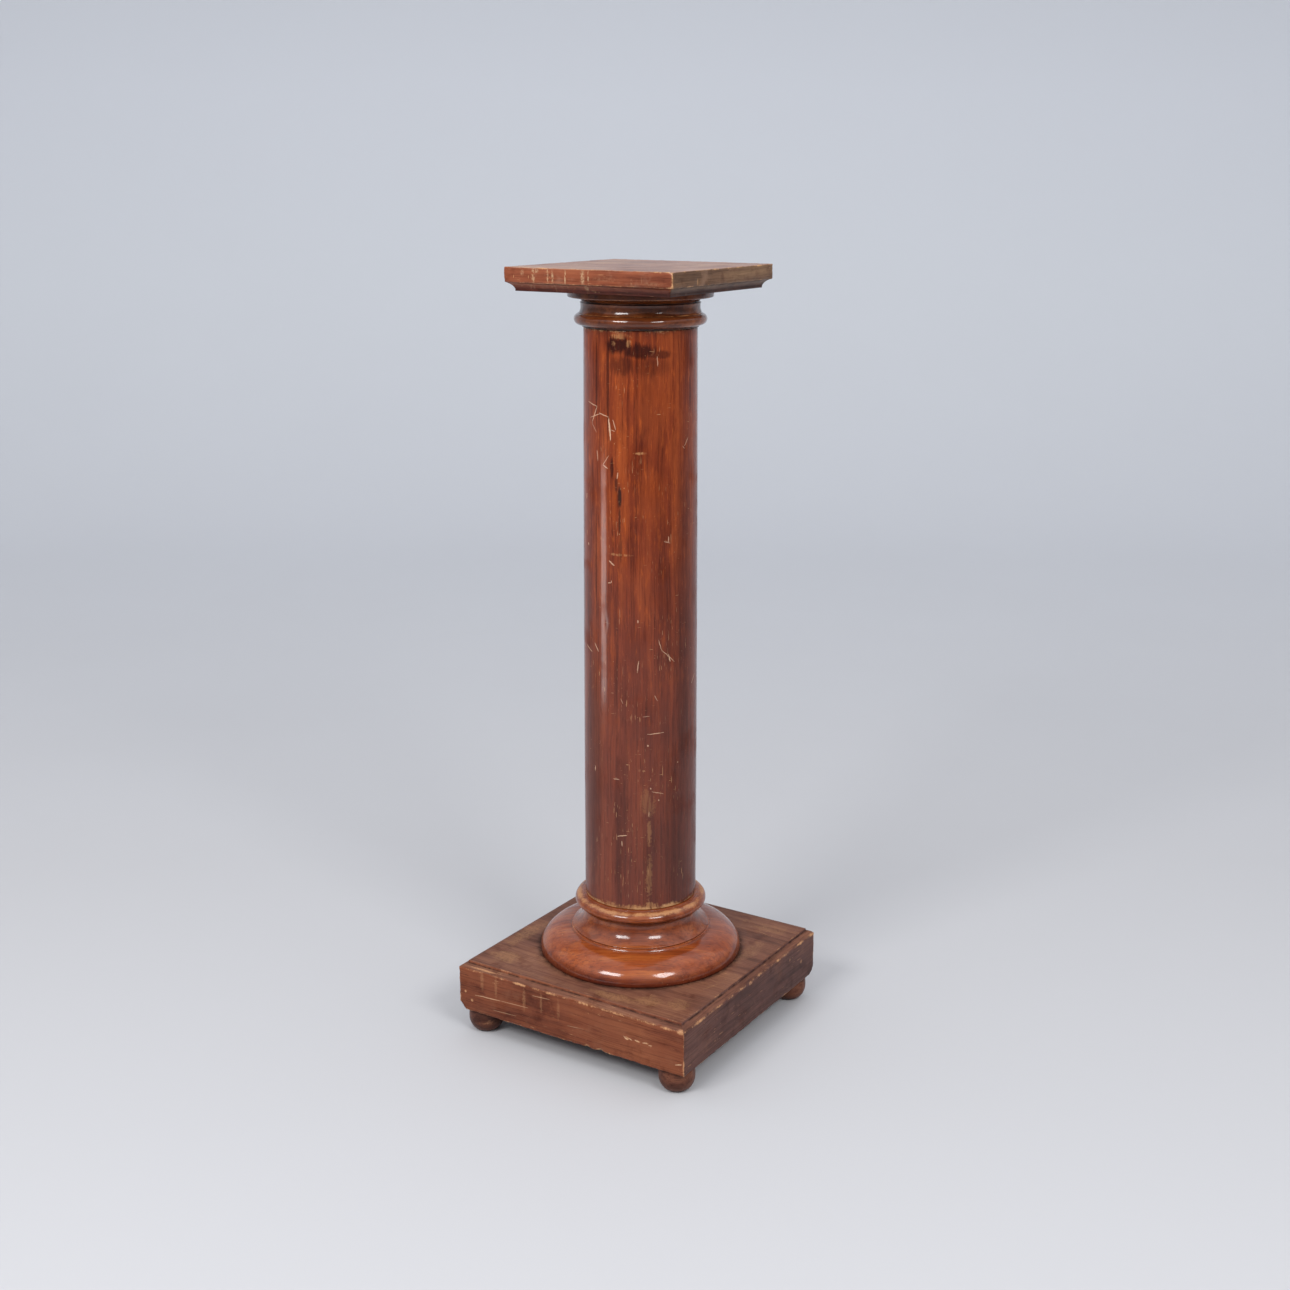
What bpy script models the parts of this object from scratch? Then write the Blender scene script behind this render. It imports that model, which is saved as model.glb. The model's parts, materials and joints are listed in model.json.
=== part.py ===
"""Display pedestal of stained hardwood: a turned column between a square top board and a footed plinth.

Sizes are in metres. The origin is on the ground at the middle of the four feet, +Z is up, and the
front of the pedestal faces -Y. Every piece is stacked on the one below it with a small seat gap.
"""

import math

import bmesh
import bpy
from mathutils import Matrix

# Gap kept between two pieces that touch
SEAT_GAP = 0.0003

# Facets around the turned pieces
COLUMN_STEPS = 48
FOOT_STEPS = 20

# Bun feet under the plinth: a cheek over a rounded belly with a flat under it
FOOT_RADIUS = 0.0257
FOOT_CHEEK_HEIGHT = 0.0139
FOOT_CHEEK_TAPER = 0.0013
FOOT_CHEEK_BULGE = 0.0003
FOOT_BELLY_HEIGHT = 0.0215
FOOT_FLAT_RADIUS = 0.0100
FOOT_SETBACK = 0.0020

# Square plinth with a raised field inside a sloping border
PLINTH_MARGIN = 0.0437
PLINTH_EDGE_HEIGHT = 0.0657
BORDER_WIDTH = 0.0095
BORDER_RISE = 0.0052
BORDER_BULGE = 0.0008
FIELD_STEP_WIDTH = 0.0008
FIELD_STEP_HEIGHT = 0.0033

# Torus, the broad cushion-shaped ring on the plinth
TORUS_LEDGE = 0.0020
TORUS_FILLET_HEIGHT = 0.0032
TORUS_FILLET_WIDTH = 0.0012
TORUS_CUSHION_HEIGHT = 0.0330
TORUS_CUSHION_WIDTH = 0.0453
TORUS_FULLNESS = 2.1
TORUS_EDGE_ROUND = 0.0010

# Collar at the foot of the shaft: a top fillet, a bead, a fillet, a hollow and a lip
COLLAR_TOP_LEDGE = 0.0035
COLLAR_TOP_FILLET_HEIGHT = 0.0015
COLLAR_BEAD_WIDTH = 0.0116
COLLAR_BEAD_CROWN = 0.0104
COLLAR_BEAD_BELLY = 0.0042
COLLAR_FILLET_STEP = 0.0064
COLLAR_FILLET_HEIGHT = 0.0036
COLLAR_RETURN_HEIGHT = 0.0043
COLLAR_THROAT_LEDGE = 0.0015
COLLAR_HOLLOW_HEIGHT = 0.0268
COLLAR_HOLLOW_FLARE = 0.0172
COLLAR_LIP_HEIGHT = 0.0014

# Shaft, a plain round column that narrows upwards with a slight swell
SHAFT_LENGTH = 0.8188
SHAFT_FOOT_RADIUS = 0.0811
SHAFT_TOP_RADIUS = 0.0776
SHAFT_SWELL = 1.7
SHAFT_EDGE_ROUND = 0.0012

# Capital: a fillet, a bead, a crease, a shallow neck, a hollow and a flange under the top board
CAPITAL_FILLET_LEDGE = 0.0020
CAPITAL_FILLET_HEIGHT = 0.0034
CAPITAL_BEAD_SECTION = 0.0076
CAPITAL_BEAD_FOOT_ANGLE = 115.0
CAPITAL_BEAD_TOP_ANGLE = 73.0
CAPITAL_CREASE_STEP = 0.0012
CAPITAL_CREASE_HEIGHT = 0.0005
CAPITAL_NECK_LEDGE = 0.0016
CAPITAL_NECK_LOWER_HEIGHT = 0.0087
CAPITAL_NECK_UPPER_HEIGHT = 0.0058
CAPITAL_NECK_LIP = 0.0008
CAPITAL_QUIRK_HEIGHT = 0.0008
CAPITAL_QUIRK_DEPTH = 0.0021
CAPITAL_HOLLOW_HEIGHT = 0.0060
CAPITAL_FLANGE_WIDTH = 0.0194
CAPITAL_FLANGE_THICKNESS = 0.0093
CAPITAL_FLANGE_ROUND = 0.0022

# Square top board: an upright edge over a small shelf, a hollow and a fillet
BOARD_MARGIN = 0.0209
BOARD_EDGE_HEIGHT = 0.0203
BOARD_SHELF_WIDTH = 0.0030
BOARD_SHELF_DROP = 0.0006
BOARD_HOLLOW_WIDTH = 0.0077
BOARD_HOLLOW_HEIGHT = 0.0083
BOARD_HOLLOW_DEPTH = 0.0012
BOARD_FILLET_HEIGHT = 0.0025

# Slight rounding along the arrises of the square pieces
ARRIS_ROUND = 0.0010
ARRIS_SEGMENTS = 2

# Radii that follow the shaft, downwards and then upwards
COLLAR_TOP_RADIUS = SHAFT_FOOT_RADIUS + COLLAR_TOP_LEDGE
COLLAR_BEAD_RADIUS = COLLAR_TOP_RADIUS + COLLAR_BEAD_WIDTH
COLLAR_FILLET_RADIUS = COLLAR_BEAD_RADIUS - COLLAR_FILLET_STEP
COLLAR_THROAT_RADIUS = SHAFT_FOOT_RADIUS + COLLAR_THROAT_LEDGE
COLLAR_LIP_RADIUS = COLLAR_THROAT_RADIUS + COLLAR_HOLLOW_FLARE
TORUS_TOP_RADIUS = COLLAR_LIP_RADIUS + TORUS_LEDGE
TORUS_RADIUS = TORUS_TOP_RADIUS + TORUS_FILLET_WIDTH + TORUS_CUSHION_WIDTH
CAPITAL_FILLET_RADIUS = SHAFT_TOP_RADIUS + CAPITAL_FILLET_LEDGE
CAPITAL_NECK_RADIUS = CAPITAL_FILLET_RADIUS + CAPITAL_NECK_LEDGE
CAPITAL_NECK_TOP_RADIUS = CAPITAL_NECK_RADIUS + CAPITAL_NECK_LIP
CAPITAL_HOLLOW_RADIUS = CAPITAL_NECK_TOP_RADIUS - CAPITAL_QUIRK_DEPTH
CAPITAL_FLANGE_RADIUS = CAPITAL_HOLLOW_RADIUS + CAPITAL_FLANGE_WIDTH

# Sides of the square pieces, which follow what stands on them or under them
PLINTH_SIDE = 2.0 * (TORUS_RADIUS + PLINTH_MARGIN)
BOARD_SIDE = 2.0 * (CAPITAL_FLANGE_RADIUS + BOARD_MARGIN + BOARD_HOLLOW_WIDTH + BOARD_SHELF_WIDTH)

# Heights of the pieces
FOOT_HEIGHT = FOOT_CHEEK_HEIGHT + FOOT_BELLY_HEIGHT
PLINTH_HEIGHT = PLINTH_EDGE_HEIGHT + BORDER_RISE + FIELD_STEP_HEIGHT
TORUS_HEIGHT = TORUS_EDGE_ROUND + TORUS_CUSHION_HEIGHT + TORUS_FILLET_HEIGHT
COLLAR_THROAT_HEIGHT = COLLAR_LIP_HEIGHT + COLLAR_HOLLOW_HEIGHT
COLLAR_FILLET_FOOT = COLLAR_THROAT_HEIGHT + COLLAR_RETURN_HEIGHT
COLLAR_BEAD_MIDDLE = COLLAR_FILLET_FOOT + COLLAR_FILLET_HEIGHT + COLLAR_BEAD_BELLY
COLLAR_HEIGHT = COLLAR_BEAD_MIDDLE + COLLAR_BEAD_CROWN + COLLAR_TOP_FILLET_HEIGHT

# Seats, from the ground up
PLINTH_BASE = FOOT_HEIGHT + SEAT_GAP
TORUS_BASE = PLINTH_BASE + PLINTH_HEIGHT + SEAT_GAP
COLLAR_BASE = TORUS_BASE + TORUS_HEIGHT + SEAT_GAP
SHAFT_BASE = COLLAR_BASE + COLLAR_HEIGHT + SEAT_GAP
CAPITAL_BASE = SHAFT_BASE + SHAFT_LENGTH + SEAT_GAP

# Stained wood colours, linear RGB
BOARD_COLOUR = (0.110, 0.048, 0.030, 1.0)
CAPITAL_COLOUR = (0.105, 0.038, 0.018, 1.0)
SHAFT_COLOUR = (0.145, 0.036, 0.018, 1.0)
COLLAR_COLOUR = (0.230, 0.075, 0.026, 1.0)
TORUS_COLOUR = (0.250, 0.078, 0.025, 1.0)
PLINTH_COLOUR = (0.120, 0.046, 0.028, 1.0)
FOOT_COLOUR = (0.070, 0.024, 0.016, 1.0)


def clear_scene():
    """Remove every object that the scene holds."""
    for thing in list(bpy.data.objects):
        bpy.data.objects.remove(thing, do_unlink=True)


def parts_collection():
    """Return the collection that holds the pedestal's pieces."""
    collection = bpy.data.collections.new("display_pedestal")
    bpy.context.scene.collection.children.link(collection)
    return collection


def varnished_wood(name, colour, roughness):
    """Return a stained and varnished wood material."""
    material = bpy.data.materials.new(name)
    material.use_nodes = True
    shader = material.node_tree.nodes["Principled BSDF"]
    shader.inputs["Base Color"].default_value = colour
    shader.inputs["Roughness"].default_value = roughness
    shader.inputs["Metallic"].default_value = 0.0
    material.diffuse_color = colour
    return material


def add_piece(name, mesh, material, collection, location):
    """Place a mesh in the collection as a named piece of the pedestal."""
    piece = bpy.data.objects.new(name, mesh)
    piece.location = location
    mesh.materials.append(material)
    collection.objects.link(piece)
    return piece


def arc(centre, radii, start, end, segments):
    """Return points on an elliptical arc, with angles in degrees from +X towards +Z."""
    points = []
    for index in range(segments + 1):
        angle = math.radians(start + (end - start) * index / segments)
        points.append((centre[0] + radii[0] * math.cos(angle), centre[1] + radii[1] * math.sin(angle)))
    return points


def bowed_line(first, last, bulge, segments):
    """Return points from first to last that bow to the left of the line by bulge at the middle."""
    run, rise = last[0] - first[0], last[1] - first[1]
    length = math.hypot(run, rise)
    side = (-rise / length, run / length)
    points = []
    for index in range(segments + 1):
        share = index / segments
        lift = 4.0 * bulge * share * (1.0 - share)
        points.append((first[0] + run * share + side[0] * lift, first[1] + rise * share + side[1] * lift))
    return points


def hollow_from(throat, lip, segments):
    """Return the round hollow that leaves the throat upright and flares out to the lip."""
    drop, flare = throat[1] - lip[1], lip[0] - throat[0]
    sweep = 2.0 * math.atan2(flare, abs(drop))
    section = abs(drop) / math.sin(sweep)
    points = []
    for index in range(segments + 1):
        angle = sweep * index / segments
        down = math.copysign(section * math.sin(angle), drop)
        points.append((throat[0] + section * (1.0 - math.cos(angle)), throat[1] - down))
    return points


def turned_piece(name, profile, steps, material, collection, location):
    """Turn a profile of (radius, height) points, listed from top to bottom, into a solid."""
    mesh = bpy.data.meshes.new(name)
    points = [(0.0, profile[0][1])] + profile + [(0.0, profile[-1][1])]
    edges = [(index, index + 1) for index in range(len(points) - 1)]
    mesh.from_pydata([(radius, 0.0, height) for radius, height in points], edges, [])
    piece = add_piece(name, mesh, material, collection, location)
    screw = piece.modifiers.new("turning", "SCREW")
    screw.axis = "Z"
    screw.angle = math.tau
    screw.steps = steps
    screw.render_steps = steps
    screw.use_merge_vertices = True
    screw.merge_threshold = 0.00005
    screw.use_smooth_shade = True
    return piece


def square_block(side, height):
    """Return a bmesh of a square block that stands on z = 0."""
    block = bmesh.new()
    lift = Matrix.Translation((0.0, 0.0, height / 2.0))
    size = Matrix.Diagonal((side, side, height, 1.0))
    bmesh.ops.create_cube(block, size=1.0, matrix=lift @ size)
    return block


def run_moulding(block, upwards, steps):
    """Work a moulding into the top or bottom of a block, as (inset, rise) steps from its edge."""
    direction = 1.0 if upwards else -1.0
    block.normal_update()
    face = max(block.faces, key=lambda item: item.normal.z * direction)
    for inset, rise in steps:
        bmesh.ops.inset_region(block, faces=[face], thickness=inset, depth=rise, use_even_offset=True)


def round_arrises(block, heights):
    """Round the outer arrises of a block: its upright corners, and the level edges at these heights."""
    block.normal_update()
    reach = max(vertex.co.x for vertex in block.verts)
    tolerance = reach * 1e-4
    chosen = []
    for edge in block.edges:
        ends = [vertex.co for vertex in edge.verts]
        outer = [max(abs(end.x), abs(end.y)) > reach - tolerance for end in ends]
        upright = all(min(abs(end.x), abs(end.y)) > reach - tolerance for end in ends)
        level = all(any(abs(end.z - height) < tolerance for height in heights) for end in ends)
        if all(outer) and (upright or level):
            chosen.append(edge)
    bmesh.ops.bevel(block, geom=chosen, offset=ARRIS_ROUND, offset_type="OFFSET", segments=ARRIS_SEGMENTS,
                    profile=0.5, affect="EDGES", clamp_overlap=True, material=-1)


def block_mesh(block, name):
    """Turn a finished block into a mesh and free it."""
    mesh = bpy.data.meshes.new(name)
    block.to_mesh(mesh)
    block.free()
    return mesh


def as_steps(points):
    """Return the (inset, rise) steps between the points of a moulding."""
    return [(after[0] - before[0], after[1] - before[1]) for before, after in zip(points, points[1:])]


def foot_profile():
    """Outline of a bun foot, from the plinth down to the flat on the ground."""
    top = (FOOT_RADIUS - FOOT_CHEEK_TAPER, FOOT_HEIGHT)
    widest = (FOOT_RADIUS, FOOT_BELLY_HEIGHT)
    belly_radii = (FOOT_RADIUS - FOOT_FLAT_RADIUS, FOOT_BELLY_HEIGHT)
    cheek = bowed_line(top, widest, FOOT_CHEEK_BULGE, 2)
    return cheek + arc((FOOT_FLAT_RADIUS, FOOT_BELLY_HEIGHT), belly_radii, 0.0, -90.0, 6)[1:]


def torus_profile():
    """Outline of the torus: a small fillet at the top, then a full cushion down to the plinth."""
    start = TORUS_TOP_RADIUS + TORUS_FILLET_WIDTH
    power = 2.0 / TORUS_FULLNESS
    segments = 11
    points = [(TORUS_TOP_RADIUS, TORUS_HEIGHT)]
    for index in range(segments + 1):
        turn = math.pi / 2.0 * index / segments
        across = max(math.sin(turn), 0.0) ** power
        up = max(math.cos(turn), 0.0) ** power
        points.append((start + TORUS_CUSHION_WIDTH * across, TORUS_EDGE_ROUND + TORUS_CUSHION_HEIGHT * up))
    points.append((TORUS_RADIUS - TORUS_EDGE_ROUND, 0.0))
    return points


def collar_profile():
    """Outline of the collar, from its top fillet down to the lip that sits on the torus."""
    crown_radii = (COLLAR_BEAD_WIDTH, COLLAR_BEAD_CROWN)
    belly_radii = (COLLAR_FILLET_STEP, COLLAR_BEAD_BELLY)
    return_radii = (COLLAR_FILLET_RADIUS - COLLAR_THROAT_RADIUS, COLLAR_RETURN_HEIGHT)
    throat = (COLLAR_THROAT_RADIUS, COLLAR_THROAT_HEIGHT)
    points = [(COLLAR_TOP_RADIUS, COLLAR_HEIGHT)]
    points += arc((COLLAR_TOP_RADIUS, COLLAR_BEAD_MIDDLE), crown_radii, 90.0, 0.0, 5)
    points += arc((COLLAR_FILLET_RADIUS, COLLAR_BEAD_MIDDLE), belly_radii, 0.0, -90.0, 3)[1:]
    points += [(COLLAR_FILLET_RADIUS, COLLAR_FILLET_FOOT)]
    points += arc((COLLAR_FILLET_RADIUS, COLLAR_THROAT_HEIGHT), return_radii, 90.0, 180.0, 4)[1:-1]
    points += hollow_from(throat, (COLLAR_LIP_RADIUS, COLLAR_LIP_HEIGHT), 7)
    points += [(COLLAR_LIP_RADIUS, 0.0)]
    return points


def shaft_profile():
    """Outline of the shaft, which narrows faster towards its top."""
    segments = 8
    low, high = SHAFT_EDGE_ROUND, SHAFT_LENGTH - SHAFT_EDGE_ROUND
    points = [(SHAFT_TOP_RADIUS - SHAFT_EDGE_ROUND, SHAFT_LENGTH)]
    for index in range(segments + 1):
        share = 1.0 - index / segments
        radius = SHAFT_FOOT_RADIUS - (SHAFT_FOOT_RADIUS - SHAFT_TOP_RADIUS) * share ** SHAFT_SWELL
        points.append((radius, low + (high - low) * share))
    points.append((SHAFT_FOOT_RADIUS - SHAFT_EDGE_ROUND, 0.0))
    return points


def capital_profile():
    """Outline of the capital, from the fillet on the shaft up to the flange, listed top to bottom."""
    section = CAPITAL_BEAD_SECTION
    foot_angle, top_angle = math.radians(CAPITAL_BEAD_FOOT_ANGLE), math.radians(CAPITAL_BEAD_TOP_ANGLE)
    bead_radius = CAPITAL_FILLET_RADIUS - section * math.cos(foot_angle)
    bead_height = CAPITAL_FILLET_HEIGHT + section * math.sin(foot_angle)
    bead_top = (bead_radius + section * math.cos(top_angle), bead_height + section * math.sin(top_angle))
    crease = (bead_top[0] - CAPITAL_CREASE_STEP, bead_top[1] + CAPITAL_CREASE_HEIGHT)
    neck = (CAPITAL_NECK_RADIUS, crease[1] + CAPITAL_NECK_LOWER_HEIGHT)
    neck_top = (CAPITAL_NECK_TOP_RADIUS, neck[1] + CAPITAL_NECK_UPPER_HEIGHT)
    hollow_foot = neck_top[1] + CAPITAL_QUIRK_HEIGHT
    flange_foot = hollow_foot + CAPITAL_HOLLOW_HEIGHT
    corner = (CAPITAL_FLANGE_RADIUS - CAPITAL_FLANGE_ROUND, flange_foot + CAPITAL_FLANGE_ROUND)
    rounding = (CAPITAL_FLANGE_ROUND, CAPITAL_FLANGE_ROUND)
    hollow_radii = (corner[0] - CAPITAL_HOLLOW_RADIUS, CAPITAL_HOLLOW_HEIGHT)
    points = [(CAPITAL_FLANGE_RADIUS, flange_foot + CAPITAL_FLANGE_THICKNESS)]
    points += arc(corner, rounding, 0.0, -90.0, 3)
    points += arc((corner[0], hollow_foot), hollow_radii, 90.0, 180.0, 5)[1:]
    points += hollow_from(neck, neck_top, 1)[::-1]
    points += hollow_from(neck, crease, 4)[1:]
    points += arc((bead_radius, bead_height), (section, section), CAPITAL_BEAD_TOP_ANGLE,
                  -CAPITAL_BEAD_FOOT_ANGLE, 7)
    points += [(CAPITAL_FILLET_RADIUS, 0.0)]
    return points


def plinth_mesh():
    """Square block with a sloping border and a raised field on top."""
    block = square_block(PLINTH_SIDE, PLINTH_EDGE_HEIGHT)
    border = bowed_line((0.0, 0.0), (BORDER_WIDTH, BORDER_RISE), BORDER_BULGE, 4)
    field = (BORDER_WIDTH + FIELD_STEP_WIDTH, BORDER_RISE + FIELD_STEP_HEIGHT)
    run_moulding(block, True, as_steps(border + [field]))
    round_arrises(block, [0.0])
    return block_mesh(block, "plinth")


def board_mesh():
    """Square board with an upright edge, and a hollow and a fillet worked under it."""
    block = square_block(BOARD_SIDE, BOARD_EDGE_HEIGHT)
    shelf = (BOARD_SHELF_WIDTH, BOARD_SHELF_DROP)
    hollow_foot = (shelf[0] + BOARD_HOLLOW_WIDTH, shelf[1] + BOARD_HOLLOW_HEIGHT)
    hollow = bowed_line(shelf, hollow_foot, -BOARD_HOLLOW_DEPTH, 5)
    fillet_foot = (hollow_foot[0], hollow_foot[1] + BOARD_FILLET_HEIGHT)
    run_moulding(block, False, as_steps([(0.0, 0.0)] + hollow + [fillet_foot]))
    round_arrises(block, [BOARD_EDGE_HEIGHT])
    return block_mesh(block, "top_board")


def build_feet(collection, material):
    """Set a bun foot under each corner of the plinth."""
    reach = PLINTH_SIDE / 2.0 - FOOT_SETBACK - FOOT_RADIUS
    corners = {
        "foot_front_left": (-reach, -reach, 0.0),
        "foot_front_right": (reach, -reach, 0.0),
        "foot_back_left": (-reach, reach, 0.0),
        "foot_back_right": (reach, reach, 0.0),
    }
    profile = foot_profile()
    return [
        turned_piece(name, profile, FOOT_STEPS, material, collection, place)
        for name, place in corners.items()
    ]


def build_column(collection):
    """Stack the four turned pieces of the column."""
    pieces = (
        ("base_torus", torus_profile(), TORUS_BASE, varnished_wood("torus_wood", TORUS_COLOUR, 0.24)),
        ("base_collar", collar_profile(), COLLAR_BASE, varnished_wood("collar_wood", COLLAR_COLOUR, 0.28)),
        ("shaft", shaft_profile(), SHAFT_BASE, varnished_wood("shaft_wood", SHAFT_COLOUR, 0.36)),
        ("capital", capital_profile(), CAPITAL_BASE, varnished_wood("capital_wood", CAPITAL_COLOUR, 0.28)),
    )
    return [
        turned_piece(name, profile, COLUMN_STEPS, material, collection, (0.0, 0.0, base))
        for name, profile, base, material in pieces
    ]


def build_square_pieces(collection):
    """Set the plinth on its feet and the top board on the capital."""
    board_base = CAPITAL_BASE + max(height for _, height in capital_profile()) + SEAT_GAP
    edge_base = board_base + BOARD_SHELF_DROP + BOARD_HOLLOW_HEIGHT + BOARD_FILLET_HEIGHT
    plinth_wood = varnished_wood("plinth_wood", PLINTH_COLOUR, 0.5)
    board_wood = varnished_wood("board_wood", BOARD_COLOUR, 0.45)
    return [
        add_piece("plinth", plinth_mesh(), plinth_wood, collection, (0.0, 0.0, PLINTH_BASE)),
        add_piece("top_board", board_mesh(), board_wood, collection, (0.0, 0.0, edge_base)),
    ]


def main():
    """Build the pedestal and hang every piece on one empty at the origin."""
    clear_scene()
    collection = parts_collection()
    pieces = build_square_pieces(collection)
    pieces += build_column(collection)
    pieces += build_feet(collection, varnished_wood("foot_wood", FOOT_COLOUR, 0.4))
    origin = bpy.data.objects.new("pedestal_origin", None)
    collection.objects.link(origin)
    for piece in pieces:
        piece.parent = origin


main()
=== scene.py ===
"""Display pedestal: a round column on a moulded base, between a square board and a footed plinth.

Sizes are in metres. A turn is an angle round the column in degrees, counted from the side that
the camera faces and growing to its right. A reach is a distance from the upright middle line.
"""

import json
import logging
import math
from collections.abc import Callable, Mapping, Sequence
from dataclasses import dataclass
from enum import Enum
from functools import cached_property

import bmesh
import bpy
from mathutils import Matrix, Vector, noise

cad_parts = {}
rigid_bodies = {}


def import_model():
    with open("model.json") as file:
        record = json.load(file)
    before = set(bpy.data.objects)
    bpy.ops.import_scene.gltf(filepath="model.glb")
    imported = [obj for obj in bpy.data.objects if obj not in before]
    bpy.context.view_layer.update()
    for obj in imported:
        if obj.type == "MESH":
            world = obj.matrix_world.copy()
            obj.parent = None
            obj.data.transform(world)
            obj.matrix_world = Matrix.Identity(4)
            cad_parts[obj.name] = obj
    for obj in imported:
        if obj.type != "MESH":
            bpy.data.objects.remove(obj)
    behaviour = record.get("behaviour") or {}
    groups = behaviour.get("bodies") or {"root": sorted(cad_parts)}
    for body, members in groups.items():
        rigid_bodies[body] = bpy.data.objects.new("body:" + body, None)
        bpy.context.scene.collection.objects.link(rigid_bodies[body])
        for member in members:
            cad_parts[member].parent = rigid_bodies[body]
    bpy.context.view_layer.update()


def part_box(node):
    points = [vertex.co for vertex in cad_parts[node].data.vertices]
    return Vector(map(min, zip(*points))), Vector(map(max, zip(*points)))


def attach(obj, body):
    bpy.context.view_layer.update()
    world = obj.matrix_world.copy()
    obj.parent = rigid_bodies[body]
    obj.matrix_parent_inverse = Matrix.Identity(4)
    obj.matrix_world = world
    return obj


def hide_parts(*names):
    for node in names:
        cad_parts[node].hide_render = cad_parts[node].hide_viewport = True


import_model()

log = logging.getLogger("pedestal")

Tint = tuple[float, float, float]
Spot = tuple[float, float]
Socket = bpy.types.NodeSocket
Feed = Socket | float | Sequence[float]

FACING = 32.58
UNROLL_REACH = 0.080
FLAT = 1.0e6
BASE_IOR = 1.15
BUMP_DEPTH = 0.0004
SPOT_GAP = 1.0e-6
NEAR = 1.0e-5
SHARP_TURN = math.radians(28.0)


class Layer(Enum):
    """Names of the layers that a mesh carries for its finish."""

    ARRIS = "arris"
    CREASE = "crease"
    FACES = "faces"
    GRAIN = "grain"
    UNROLLED = "unrolled"


def around(turn: float, reach: float, height: float) -> Vector:
    """Find the place at a turn, a reach and a height.

    Args:
        turn: Angle from the camera's side, in degrees.
        reach: Distance from the middle line.
        height: Height above the ground.

    Returns:
        The place in the shared frame.
    """
    angle = math.radians(turn - 90.0 + FACING)
    return Vector((reach * math.cos(angle), reach * math.sin(angle), height))


def turn_of(place: Vector) -> float:
    """Give the turn of a place, between -180 and 180 degrees."""
    return (math.degrees(math.atan2(place.y, place.x)) + 90.0 - FACING + 180.0) % 360.0 - 180.0


def linear(tint: Tint) -> tuple[float, float, float, float]:
    """Turn a display colour of 0 to 255 into linear light.

    Args:
        tint: Red, green and blue as a screen shows them.

    Returns:
        Linear red, green and blue, and a full alpha.
    """
    shares = [channel / 255.0 for channel in tint]
    light = [s / 12.92 if s <= 0.04045 else ((s + 0.055) / 1.055) ** 2.4 for s in shares]
    return (light[0], light[1], light[2], 1.0)


def eased(value: float, low: float, high: float) -> float:
    """Rise smoothly from 0 at low to 1 at high."""
    share = min(1.0, max(0.0, (value - low) / (high - low)))
    return share * share * (3.0 - 2.0 * share)


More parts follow.
